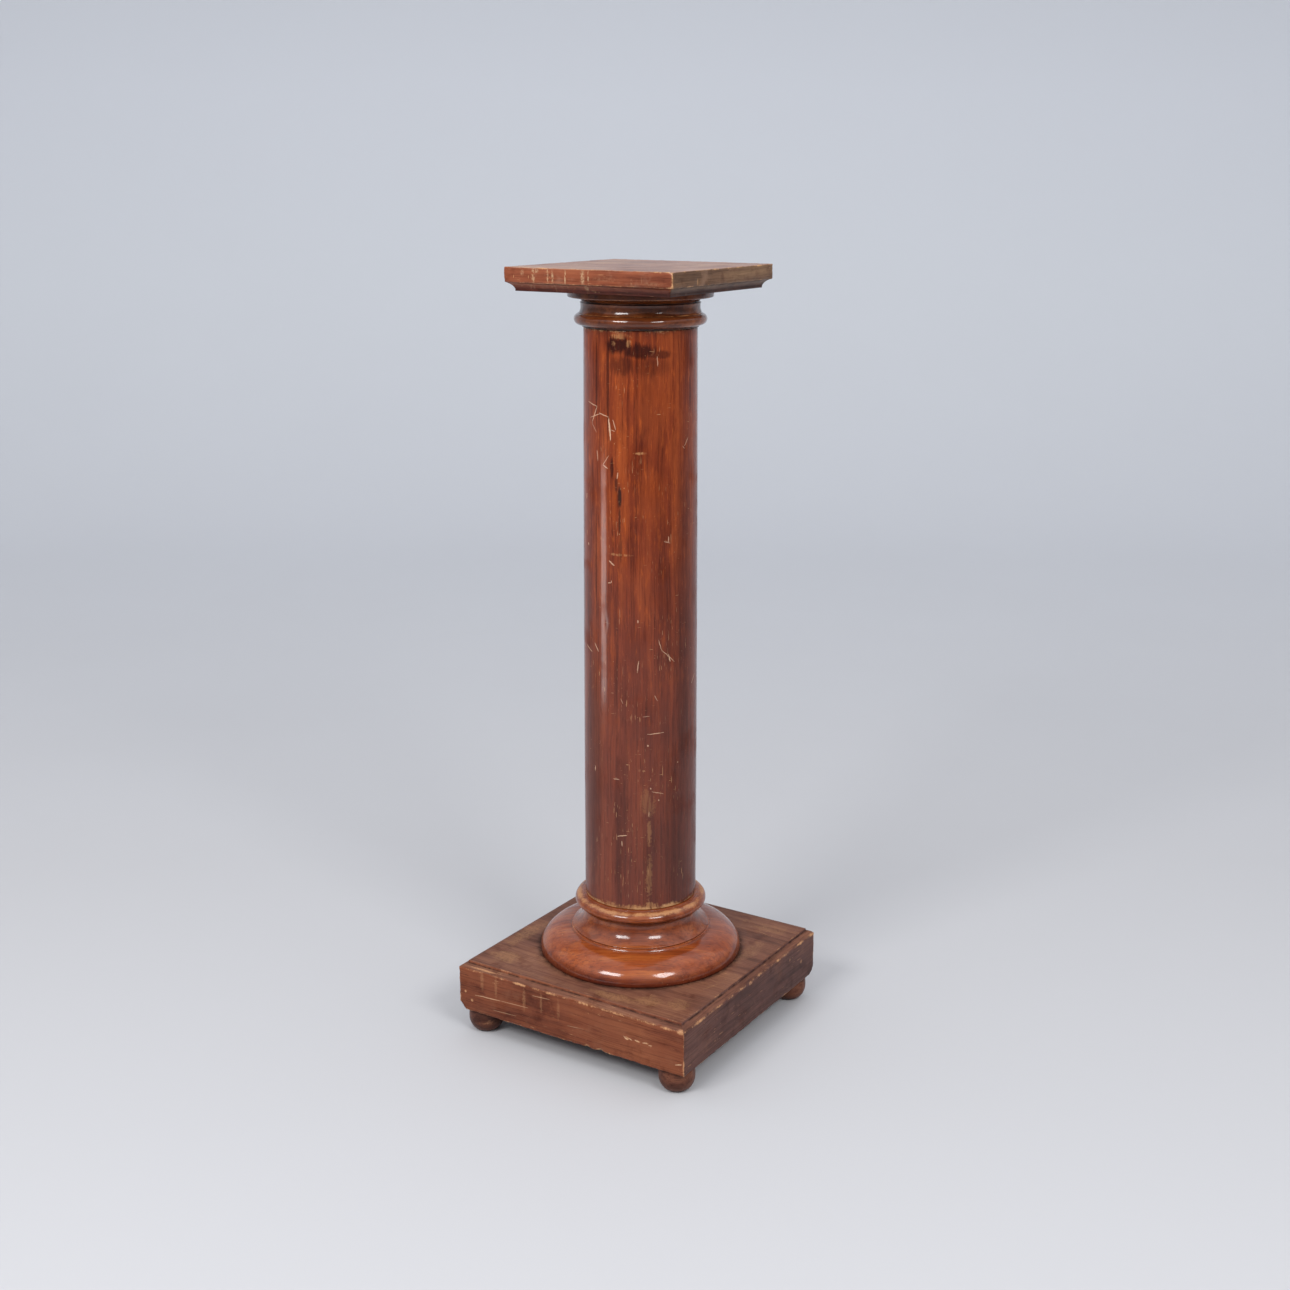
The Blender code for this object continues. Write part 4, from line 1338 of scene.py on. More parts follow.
@dataclass(kw_only=True)
class Collar(TurnedPiece):
    """The collar at the foot of the shaft: a fillet, a bead, a fillet, a hollow and a lip."""

    top_reach: float = 0.0846
    top_fillet: float = 0.0015
    bead_width: float = 0.0116
    bead_crown: float = 0.0104
    bead_belly: float = 0.0042
    fillet_step: float = 0.0064
    fillet_height: float = 0.0036
    return_height: float = 0.0043
    throat_reach: float = 0.0826
    hollow_height: float = 0.0268
    hollow_flare: float = 0.0172
    lip_height: float = 0.0014

    @property
    def fillet_reach(self) -> float:
        """Reach of the fillet under the bead."""
        return self.top_reach + self.bead_width - self.fillet_step

    @property
    def fillet_foot(self) -> float:
        """Height of the fillet's lower edge."""
        return self.lip_height + self.hollow_height + self.return_height

    @property
    def bead_middle(self) -> float:
        """Height of the bead's widest line."""
        return self.fillet_foot + self.fillet_height + self.bead_belly

    def section(self) -> Section:
        """Work the bead, the fillet, the hollow and the lip.

        Returns:
            The section.
        """
        throat = self.lip_height + self.hollow_height
        section = Section(self.top_reach, self.bead_middle + self.bead_crown + self.top_fillet)
        section.arc((self.top_reach, self.bead_middle), (self.bead_width, self.bead_crown), 90.0, 0.0, 16)
        section.arc((self.fillet_reach, self.bead_middle), (self.fillet_step, self.bead_belly), 0.0, -90.0, 9)
        section.to(self.fillet_reach, self.fillet_foot)
        section.arc((self.fillet_reach, throat), (self.fillet_reach - self.throat_reach, self.return_height),
                    90.0, 180.0, 9)
        section.flare(self.throat_reach + self.hollow_flare, self.lip_height, 18)
        return section.to(self.throat_reach + self.hollow_flare, 0.0)

    def arrises(self) -> list[Ring]:
        """The rubbed top and crown of the bead, and the lip.

        Returns:
            The rings.
        """
        return [Ring(self.top_reach + 0.0060, self.bead_middle + 0.0088, 0.0115, 0.76),
                Ring(self.throat_reach + self.hollow_flare, self.lip_height, 0.0014, 0.40),
                Ring(self.fillet_reach, self.fillet_foot + self.fillet_height, 0.0016, 0.4)]

    def creases(self) -> list[Ring]:
        """The corners under the bead and beside the shaft; under the bead the dark is painted shade.

        Returns:
            The rings.
        """
        # Painted shade: the dark rings under the bead and at the top of the hollow.
        return [Ring(self.fillet_reach, self.fillet_foot + self.fillet_height, 0.0022, 0.9),
                Ring(self.fillet_reach - 0.0012, self.fillet_foot - 0.0004, 0.0034, 0.9),
                Ring(self.top_reach - 0.0030, self.bead_middle + self.bead_crown + self.top_fillet,
                     0.0028, 1.0),
                Ring(self.throat_reach + self.hollow_flare, 0.0, 0.0013, 1.0)]

    def dents(self) -> list[Dent]:
        """The nick on the front of the bead and a bruise at its right."""
        return dents_round((1.0, 0.0960, self.foot + 0.0385, 0.0042, 0.0011),
                           (34.0, 0.0960, self.foot + 0.0400, 0.0050, 0.0008))


@dataclass(kw_only=True)
class Capital(TurnedPiece):
    """The capital: a fillet, a bead, a crease, a shallow neck, a hollow and a flange."""

    fillet_reach: float = 0.0796
    fillet_height: float = 0.0034
    bead_radius: float = 0.0076
    bead_angles: Spot = (73.0, -115.0)
    crease: Spot = (0.0012, 0.0005)
    neck_reach: float = 0.0812
    neck_heights: Spot = (0.0087, 0.0058)
    neck_lip: float = 0.0008
    quirk: Spot = (0.0021, 0.0008)
    hollow_height: float = 0.0060
    flange_width: float = 0.0194
    flange_height: float = 0.0093
    flange_round: float = 0.0022

    @property
    def bead_middle(self) -> Spot:
        """Reach and height of the middle of the bead's section.

        Returns:
            The reach and the height.
        """
        foot = math.radians(self.bead_angles[1])
        return (self.fillet_reach - self.bead_radius * math.cos(foot),
                self.fillet_height - self.bead_radius * math.sin(foot))

    @property
    def crease_spot(self) -> Spot:
        """Reach and height of the crease over the bead.

        Returns:
            The reach and the height.
        """
        top = math.radians(self.bead_angles[0])
        reach, height = self.bead_middle
        return (reach + self.bead_radius * math.cos(top) - self.crease[0],
                height + self.bead_radius * math.sin(top) + self.crease[1])

    def section(self) -> Section:
        """Work the flange, the hollow, the neck and the bead.

        Returns:
            The section.
        """
        neck = self.crease_spot[1] + self.neck_heights[0]
        neck_top = neck + self.neck_heights[1]
        hollow_foot = neck_top + self.quirk[1]
        hollow_reach = self.neck_reach + self.neck_lip - self.quirk[0]
        flange_foot = hollow_foot + self.hollow_height
        flange = hollow_reach + self.flange_width
        corner = flange - self.flange_round
        section = Section(flange, flange_foot + self.flange_height)
        section.arc((corner, flange_foot + self.flange_round), (self.flange_round, self.flange_round),
                    0.0, -90.0, 7)
        section.arc((corner, hollow_foot), (corner - hollow_reach, self.hollow_height), 90.0, 180.0, 14)
        lip = Section(self.neck_reach, neck).flare(self.neck_reach + self.neck_lip, neck_top, 5)
        for spot in reversed(lip.spots):
            section.to(*spot)
        section.flare(*self.crease_spot, 9)
        section.arc(self.bead_middle, (self.bead_radius, self.bead_radius), *self.bead_angles, 20)
        return section.to(self.fillet_reach, 0.0)

    def arrises(self) -> list[Ring]:
        """The edges of the flange and the top of the bead, rubbed pale and with painted highlight.

        Returns:
            The rings.
        """
        top = self.section().spots[0]
        # The pale lines on the flange's lower edge and on the top of the bead are rubbed wear and painted
        # highlight.
        return [Ring(top[0], top[1] - self.flange_height + 0.0008, 0.0022, 0.85),
                Ring(*self.crease_spot, 0.0018, 0.95),
                Ring(self.neck_reach + self.neck_lip, self.crease_spot[1] + 0.0145, 0.0014, 0.6)]

    def creases(self) -> list[Ring]:
        """The crease, the quirk, the joint with the shaft, and the neck, darkened with painted shade under
        the flange.

        Returns:
            The rings.
        """
        return [Ring(self.crease_spot[0] + 0.0006, self.crease_spot[1] + 0.0002, 0.0016, 0.9),
                # Painted shade: the middle of the neck, under the flange, is darkened.
                Ring(self.neck_reach - 0.0010, self.crease_spot[1] + 0.0060, 0.0095, 0.60),
                Ring(self.neck_reach - 0.0010, self.crease_spot[1] + 0.0153, 0.0030, 0.9),
                Ring(self.fillet_reach, self.fillet_height, 0.0018, 0.9),
                Ring(self.fillet_reach, 0.0, 0.0012, 1.0)]


@dataclass(kw_only=True)
class BunFoot(TurnedPiece):
    """A bun foot: a cheek over a rounded belly, with a flat under it."""

    reach: float = 0.0257
    taper: float = 0.0013
    height: float = 0.0354
    belly_height: float = 0.0215
    flat_reach: float = 0.0100

    def section(self) -> Section:
        """Swell from the plinth to the belly and round off to the ground.

        Returns:
            The section.
        """
        section = Section(self.reach - self.taper, self.height).bow(self.reach, self.belly_height, 0.0003, 6)
        return section.arc((self.flat_reach, self.belly_height),
                           (self.reach - self.flat_reach, self.belly_height), 0.0, -90.0, 16)

    def arrises(self) -> list[Ring]:
        """The rubbed belly."""
        return [Ring(self.reach, self.belly_height - 0.003, 0.012, 0.45)]

    def creases(self) -> list[Ring]:
        """Dirt and painted shade under the plinth and along the ground."""
        return [Ring(self.reach, self.height, 0.006, 0.8), Ring(self.flat_reach, 0.0, 0.010, 0.9)]


@dataclass(kw_only=True)
class SquarePiece(Piece):
    """A square piece with mitred mouldings."""

    pitch: float = 0.0035
    arris_easing: float = 0.0011
    least_rise: float = 0.012
    rub_reach: float = 0.004
    rub_bias: float = 0.22
    corner_reach: float = 0.0055
    grain_shifts: tuple[float, float, float] = (3.0, 5.0, 7.0)
    side_shift: float = 0.7

    @cached_property
    def half(self) -> float:
        """Half of the side."""
        return self.room[1].x

    def knocks(self) -> list[Knock]:
        """List the corners that are knocked off."""
        return []

    def block(self, low: float, high: float) -> bmesh.types.BMesh:
        """Start from a square block between two heights.

        Args:
            low: Height of its underside.
            high: Height of its top.

        Returns:
            The block.
        """
        shape = bmesh.new()
        place = Matrix.Translation((0.0, 0.0, (low + high) / 2.0))
        size = Matrix.Diagonal((self.half * 2.0, self.half * 2.0, high - low, 1.0))
        bmesh.ops.create_cube(shape, size=1.0, matrix=place @ size)
        return shape

    @staticmethod
    def mould(shape: bmesh.types.BMesh, upwards: bool, section: Section) -> None:
        """Work a moulding into the top or the underside.

        Args:
            shape: The block.
            upwards: True for the top.
            section: Insets and rises from the block's edge.
        """
        shape.normal_update()
        face = max(shape.faces, key=lambda item: item.normal.z * (1.0 if upwards else -1.0))
        for inset, rise in section.steps():
            bmesh.ops.inset_region(shape, faces=[face], thickness=inset, depth=rise, use_even_offset=True)

    def ease_edges(self, shape: bmesh.types.BMesh, heights: Sequence[float]) -> None:
        """Round the upright corners and the outer level edges at some heights.

        Args:
            shape: The shape.
            heights: Heights of the level edges.
        """
        near = self.half - NEAR
        chosen = []
        for edge in shape.edges:
            ends = [end.co for end in edge.verts]
            upright = all(min(abs(end.x), abs(end.y)) > near for end in ends)
            level = all(max(abs(end.x), abs(end.y)) > near
                        and any(abs(end.z - height) < NEAR for height in heights) for end in ends)
            if upright or level:
                chosen.append(edge)
        bmesh.ops.bevel(shape, geom=chosen, offset=self.arris_easing, offset_type="OFFSET", segments=3,
                        profile=0.5, affect="EDGES", clamp_overlap=True, material=-1)

    def cut_fine(self, shape: bmesh.types.BMesh) -> None:
        """Cut the faces into a fine net that wear can work on.

        Args:
            shape: The shape.
        """
        rises = {edge: abs(edge.verts[0].co.z - edge.verts[1].co.z) for edge in shape.edges}
        upright = [edge for edge, rise in rises.items() if rise > self.least_rise]
        rise = max(rises[edge] for edge in upright)
        bmesh.ops.subdivide_edges(shape, edges=upright, cuts=round(rise / self.pitch), use_grid_fill=True)
        long_ones = [edge for edge in shape.edges if edge.calc_length() > self.half]
        bmesh.ops.subdivide_edges(shape, edges=long_ones, cuts=round(self.half * 2.0 / self.pitch),
                                  use_grid_fill=True)
        bmesh.ops.recalc_face_normals(shape, faces=shape.faces[:])

    def rub_edges(self, shape: bmesh.types.BMesh, depth: float) -> None:
        """Wear the arrises down unevenly.

        Args:
            shape: The shape to wear.
            depth: How deep the deepest wear goes.
        """
        shape.normal_update()
        rings = self.arrises()
        for vertex in shape.verts:
            place = vertex.co
            reach = max(abs(place.x), abs(place.y))
            corner = 1.0 - eased(self.half - min(abs(place.x), abs(place.y)), 0.0, self.rub_reach)
            edge = max([ring.nearness(reach, place.z - self.foot) for ring in rings] + [corner])
            if edge > 0.0 and reach > self.half - self.rub_reach:
                rough = noise.noise(place * 90.0) * 0.6 + noise.noise(place * 260.0) * 0.4
                vertex.co -= vertex.normal * depth * edge * max(0.0, rough + self.rub_bias)
        for knock in self.knocks():
            middle = Vector((0.0, 0.0, (self.foot + self.top) / 2.0))
            inward = Vector([math.copysign(1.0, part) for part in middle - knock.corner])
            for vertex in shape.verts:
                gap = sum(abs(part) for part in (vertex.co - knock.corner))
                wide = knock.size * (1.0 + 0.22 * noise.noise(vertex.co * 140.0))
                if gap < wide:
                    vertex.co += inward * (wide - gap) / 3.0

    def paint(self, mesh: bpy.types.Mesh) -> None:
        """Write the rubbed edges, the darkened corners, the sides and the map of the grain.

        Args:
            mesh: The mesh to write on.
        """
        ring_layer(mesh, Layer.CREASE, self.creases(), self.spot)
        arris, rings = [], self.arrises()
        for vertex in mesh.vertices:
            place = vertex.co
            reach, height = self.spot(place)
            corner = 1.0 - eased(self.half - min(abs(place.x), abs(place.y)), 0.0, self.corner_reach)
            knocked = max((1.0 - eased(sum(abs(part) for part in (place - knock.corner)), knock.size * 0.7,
                                       knock.size * 1.5) for knock in self.knocks()), default=0.0)
            near = [ring.nearness(reach, height) for ring in rings]
            arris.append(max(*near, corner if height > 0.0 else 0.0, knocked))
        write_layer(mesh, Layer.ARRIS, arris)
        faces = mesh.attributes.new(Layer.FACES.value, "FLOAT_COLOR", "FACE")
        grain = mesh.uv_layers.new(name=Layer.GRAIN.value)
        for face in mesh.polygons:
            normal, middle = face.normal, face.center
            long_side = abs(normal.y) > abs(normal.x)
            up = eased(normal.z, 0.55, 0.80)
            front = 1.0 if long_side and normal.y < -0.3 else 0.0
            faces.data[face.index].color = (1.0 if long_side else 0.0, front, up, 1.0)
            for loop in face.loop_indices:
                place = mesh.vertices[mesh.loops[loop].vertex_index].co
                grain.data[loop].uv = self.grain_at(place, middle, normal)

    def spot(self, place: Vector) -> Spot:
        """Give the distance from the middle, square-wise, and the height of a place."""
        return (max(abs(place.x), abs(place.y)), place.z - self.foot)

    def grain_at(self, place: Vector, middle: Vector, normal: Vector) -> Spot:
        """Give a place on the map of the grain, which follows each side and mitres at the corners.

        Args:
            place: The place.
            middle: Middle of its face.
            normal: The way that its face looks.

        Returns:
            Along and across the grain.
        """
        if abs(normal.z) > 0.7 and not self.mitred(middle):
            return (place.x, place.y + self.grain_shifts[0])
        by_front = abs(middle.y) > abs(middle.x)
        along, inwards = (place.x, place.y) if by_front else (place.y, place.x)
        offset = self.grain_shifts[1 if by_front else 2]
        offset += math.copysign(self.side_shift, middle.y if by_front else middle.x)
        return (along, offset + place.z - abs(inwards))

    def mitred(self, middle: Vector) -> bool:
        """Tell whether a level face belongs to a mitred border."""
        return False


@dataclass(kw_only=True)
class TopBoard(SquarePiece):
    """The square top board: an upright edge over a small shelf, a hollow and a fillet."""

    edge_height: float = 0.0203
    shelf: Spot = (0.0030, 0.0006)
    hollow: Spot = (0.0077, 0.0083)
    hollow_depth: float = 0.0012
    fillet: float = 0.0025

    def shape(self) -> bmesh.types.BMesh:
        """Mould the underside of a block and wear its edges.

        Returns:
            The shape.
        """
        top = self.top
        shape = self.block(top - self.edge_height, top)
        section = Section(0.0, 0.0).to(*self.shelf)
        foot = (self.shelf[0] + self.hollow[0], self.shelf[1] + self.hollow[1])
        section.bow(*foot, -self.hollow_depth, 10).to(foot[0], foot[1] + self.fillet)
        self.mould(shape, False, section)
        self.ease_edges(shape, [top, top - self.edge_height])
        self.cut_fine(shape)
        self.rub_edges(shape, 0.0016)
        return shape

    def arrises(self) -> list[Ring]:
        """The top edge, the lower edge of the upright face and the edge of the fillet.

        Returns:
            The rings.
        """
        top = self.top - self.foot
        return [Ring(self.half, top, 0.0042, 0.95), Ring(self.half, top - self.edge_height, 0.0034, 0.95),
                Ring(self.half - self.shelf[0] - self.hollow[0], self.fillet, 0.0022, 0.5)]

    def creases(self) -> list[Ring]:
        """The corner over the fillet and the back of the shelf.

        Returns:
            The rings.
        """
        top = self.top - self.foot
        return [Ring(self.half - self.shelf[0], top - self.edge_height - self.shelf[1], 0.0030, 0.75),
                Ring(self.half - self.shelf[0] - self.hollow[0], self.fillet + 0.0006, 0.0026, 0.8)]

    def dents(self) -> list[Dent]:
        """Bruises along the front edge and the corner.

        Returns:
            The dents.
        """
        top = self.top
        return dents_at((-0.084, -self.half, top, 0.010, 0.0012), (0.046, -self.half, top, 0.007, 0.0008),
                        (self.half, -self.half, top, 0.006, 0.0012),
                        (self.half, -0.069, top - 0.015, 0.007, 0.0008))


@dataclass(kw_only=True)
class Plinth(SquarePiece):
    """The square plinth: a heavy edge, a sloping border and a raised field."""

    edge_height: float = 0.0657
    border: Spot = (0.0095, 0.0052)
    border_bulge: float = 0.0008
    step: Spot = (0.0008, 0.0033)
    seat_reach: float = 0.1483
    # Width and strength of the dark line round the torus's seat: dirt and painted contact shadow.
    seat_grime_and_shade: Spot = (0.008, 0.85)

    def shape(self) -> bmesh.types.BMesh:
        """Mould the top of a block and wear its edges and corners.

        Returns:
            The shape.
        """
        shape = self.block(self.foot, self.foot + self.edge_height)
        section = Section(0.0, 0.0).bow(*self.border, self.border_bulge, 7)
        section.to(self.border[0] + self.step[0], self.border[1] + self.step[1])
        self.mould(shape, True, section)
        self.ease_edges(shape, [self.foot, self.foot + self.edge_height])
        self.cut_fine(shape)
        self.rub_edges(shape, 0.0018)
        return shape

    def arrises(self) -> list[Ring]:
        """The outer edges, and the edge of the raised field.

        Returns:
            The rings.
        """
        field = self.half - self.border[0] - self.step[0]
        return [Ring(self.half, self.edge_height, 0.0060, 0.85), Ring(self.half, 0.0, 0.0042, 0.80),
                Ring(field, self.edge_height + self.border[1] + self.step[1], 0.0030, 0.62)]

    def creases(self) -> list[Ring]:
        """The corner at the foot of the raised field."""
        return [Ring(self.half - self.border[0], self.edge_height + self.border[1], 0.0024, 1.0)]

    def knocks(self) -> list[Knock]:
        """The lower corners at the left and the right, worn off.

        Returns:
            The knocked corners.
        """
        return [Knock(Vector((-self.half, -self.half, self.foot)), 0.0125),
                Knock(Vector((self.half, self.half, self.foot)), 0.0115),
                Knock(Vector((-self.half, self.half, self.foot)), 0.0080)]

    def dents(self) -> list[Dent]:
        """Chips along the lower edge and bruises on the front and the border.

        Returns:
            The dents.
        """
        low, high = self.foot, self.foot + self.edge_height
        front = -self.half
        return dents_at((0.0335, front, low, 0.0055, 0.0022), (0.0555, front, low, 0.0075, 0.0022),
                        (self.half, front, high, 0.009, 0.0018),
                        (self.half, front, low + 0.030, 0.005, 0.0010),
                        (-0.150, front, 0.063, 0.007, 0.0010), (0.112, front, 0.068, 0.006, 0.0008),
                        (self.half, -0.0067, high, 0.008, 0.0012), (-0.100, front, high, 0.012, 0.0012))

    def paint(self, mesh: bpy.types.Mesh) -> None:
        """Add the dark line round the seat of the torus: dirt, and painted contact shadow.

        Args:
            mesh: The mesh to write on.
        """
        super().paint(mesh)
        creases = mesh.attributes[Layer.CREASE.value].data
        for vertex, crease in zip(mesh.vertices, creases):
            gap = abs(vertex.co.xy.length - self.seat_reach)
            if vertex.co.z > self.top - 0.001 and gap < self.seat_grime_and_shade[0]:
                grime_and_shade = self.seat_grime_and_shade[1] * (1.0 - eased(gap, 0.0, self.seat_grime_and_shade[0]))
                crease.value = max(crease.value, grime_and_shade)

    def mitred(self, middle: Vector) -> bool:
        """Tell whether a level face belongs to the border."""
        return max(abs(middle.x), abs(middle.y)) > self.half - self.border[0] - self.step[0]


@dataclass(frozen=True)
class Softbox:
    """A soft studio lamp at a turn, a distance and a height, aimed at a height of the column."""

    name: str
    turn: float
    distance: float
    height: float
    size: Spot
    power: float
    aim: float = 0.45
    lights: str = ""


@dataclass
class Studio:
    """The plain pale floor with its sweep, the lamps and the camera at the photograph's angle."""

    floor: FloorFinish = FloorFinish()
    softboxes: tuple[Softbox, ...] = (
        Softbox("softbox_left", -38.0, 2.75, 2.45, (1.25, 0.85), 62.0),
        Softbox("softbox_right", 30.0, 2.75, 2.45, (1.15, 0.85), 46.0),
        Softbox("panel_low_left", -78.0, 1.60, 0.32, (0.36, 0.55), 4.6, 0.30, lights="shaft"),
        Softbox("overhead", 150.0, 1.60, 4.20, (4.0, 4.0), 12.0, 0.0),
    )
    floor_half: float = 9.0
    floor_back: float = 3.2
    sweep: float = 2.6
    sky: Tint = (224, 226, 232)
    sky_strength: float = 1.20
    dusk_strength: float = 0.35
    sky_rise: Spot = (0.05, 0.65)
    camera_distance: float = 2.38101
    camera_height: float = 1.21749
    focal: float = 1735.31379 / 1290.0 * 36.0
    swing: float = 0.00265
    tilt: float = 0.26489
    roll: float = 0.00061

    def build_floor(self) -> None:
        """Sweep the floor up into a backdrop behind the pedestal."""
        turn = (self.floor_back, self.sweep)
        section = Section(-self.floor_half, 0.0).to(self.floor_back, 0.0)
        section.arc(turn, (self.sweep, self.sweep), -90.0, 0.0, 24).to(sum(turn), self.floor_half)
        across = around(90.0, 1.0, 0.0)
        back = around(180.0, 1.0, 0.0)
        shape = bmesh.new()
        line = [shape.verts.new(back * reach - across * self.floor_half + Vector((0.0, 0.0, height)))
                for reach, height in section.spots]
        edges = [shape.edges.new(pair) for pair in zip(line, line[1:])]
        swept = bmesh.ops.extrude_edge_only(shape, edges=edges)
        bmesh.ops.translate(shape, vec=across * self.floor_half * 2.0,
                            verts=[item for item in swept["geom"] if isinstance(item, bmesh.types.BMVert)])
        bmesh.ops.recalc_face_normals(shape, faces=shape.faces[:])
        mesh = meshed("studio_floor", shape)
        mesh.materials.append(self.floor.build())
        floor = set_out("studio_floor", mesh)

    def build_lamps(self) -> None:
        """Hang the softboxes and set the even light of the room."""
        for box in self.softboxes:
            lamp = bpy.data.lights.new(box.name, "AREA")
            lamp.shape = "RECTANGLE"
            lamp.size, lamp.size_y = box.size
            lamp.energy = box.power
            thing = set_out(box.name, lamp)
            place = around(box.turn, box.distance, box.height)
            aim = Vector((0.0, 0.0, box.aim)) - place
            thing.matrix_world = Matrix.Translation(place) @ aim.to_track_quat("-Z", "Y").to_matrix().to_4x4()
            thing.visible_camera = False
            if box.lights:
                lit = bpy.data.collections.new(f"{box.name}_lights")
                for piece in bpy.data.objects:
                    if piece.name.startswith(f"{box.lights}_"):
                        lit.objects.link(piece)
                thing.light_linking.receiver_collection = lit
        world = bpy.data.worlds.new("studio_room")
        world.use_nodes = True
        desk = NodeDesk(world.node_tree)
        sight = desk.add("ShaderNodeTexCoord").outputs["Generated"]
        up = desk.add("ShaderNodeSeparateXYZ", {0: sight}).outputs[2]
        room = world.node_tree.nodes["Background"]
        room.inputs["Color"].default_value = linear(self.sky)
        rise = desk.ease(up, *self.sky_rise)
        glow = desk.math("MULTIPLY_ADD", rise, self.sky_strength - self.dusk_strength, self.dusk_strength)
        world.node_tree.links.new(glow, room.inputs["Strength"])
        bpy.context.scene.world = world

    def build_camera(self) -> None:
        """Set the camera where the photograph was taken."""
        camera = bpy.data.cameras.new("photo_camera")
        camera.sensor_width = 36.0
        camera.lens = self.focal
        thing = set_out("photo_camera", camera)
        side = math.radians(FACING)
        place = around(0.0, self.camera_distance, self.camera_height)
        thing.matrix_world = (Matrix.Translation(place) @ Matrix.Rotation(side - self.swing, 4, "Z")
                              @ Matrix.Rotation(math.pi / 2.0 - self.tilt, 4, "X")
                              @ Matrix.Rotation(self.roll, 4, "Z"))
        bpy.context.scene.camera = thing

    def build(self) -> None:
        """Build the whole studio, with plain colour handling."""
        settings = bpy.context.scene.view_settings
        settings.view_transform = "Standard"
        settings.look = "None"
        self.build_floor()
        self.build_lamps()
        self.build_camera()


MAHOGANY = Stain((84, 31, 15), (119, 49, 22), (147, 69, 30), (192, 148, 104), (34, 18, 13))
TORUS_STAIN = Stain((110, 45, 19), (142, 67, 28), (168, 92, 42), (206, 152, 104), (44, 26, 18))
COLLAR_STAIN = Stain((90, 37, 18), (130, 62, 28), (160, 89, 44), (180, 128, 86), (38, 22, 16))
CAPITAL_STAIN = Stain((66, 25, 10), (110, 54, 22), (146, 80, 36), (180, 122, 76), (26, 14, 10))
BOARD_STAIN = Stain((94, 46, 32), (136, 74, 50), (164, 98, 66), (206, 158, 112), (44, 26, 20))
PLINTH_STAIN = Stain((80, 39, 26), (119, 64, 42), (136, 79, 52), (196, 146, 104), (40, 24, 19))
FOOT_STAIN = Stain((58, 30, 22), (92, 54, 41), (122, 76, 56), (150, 106, 78), (32, 20, 16))


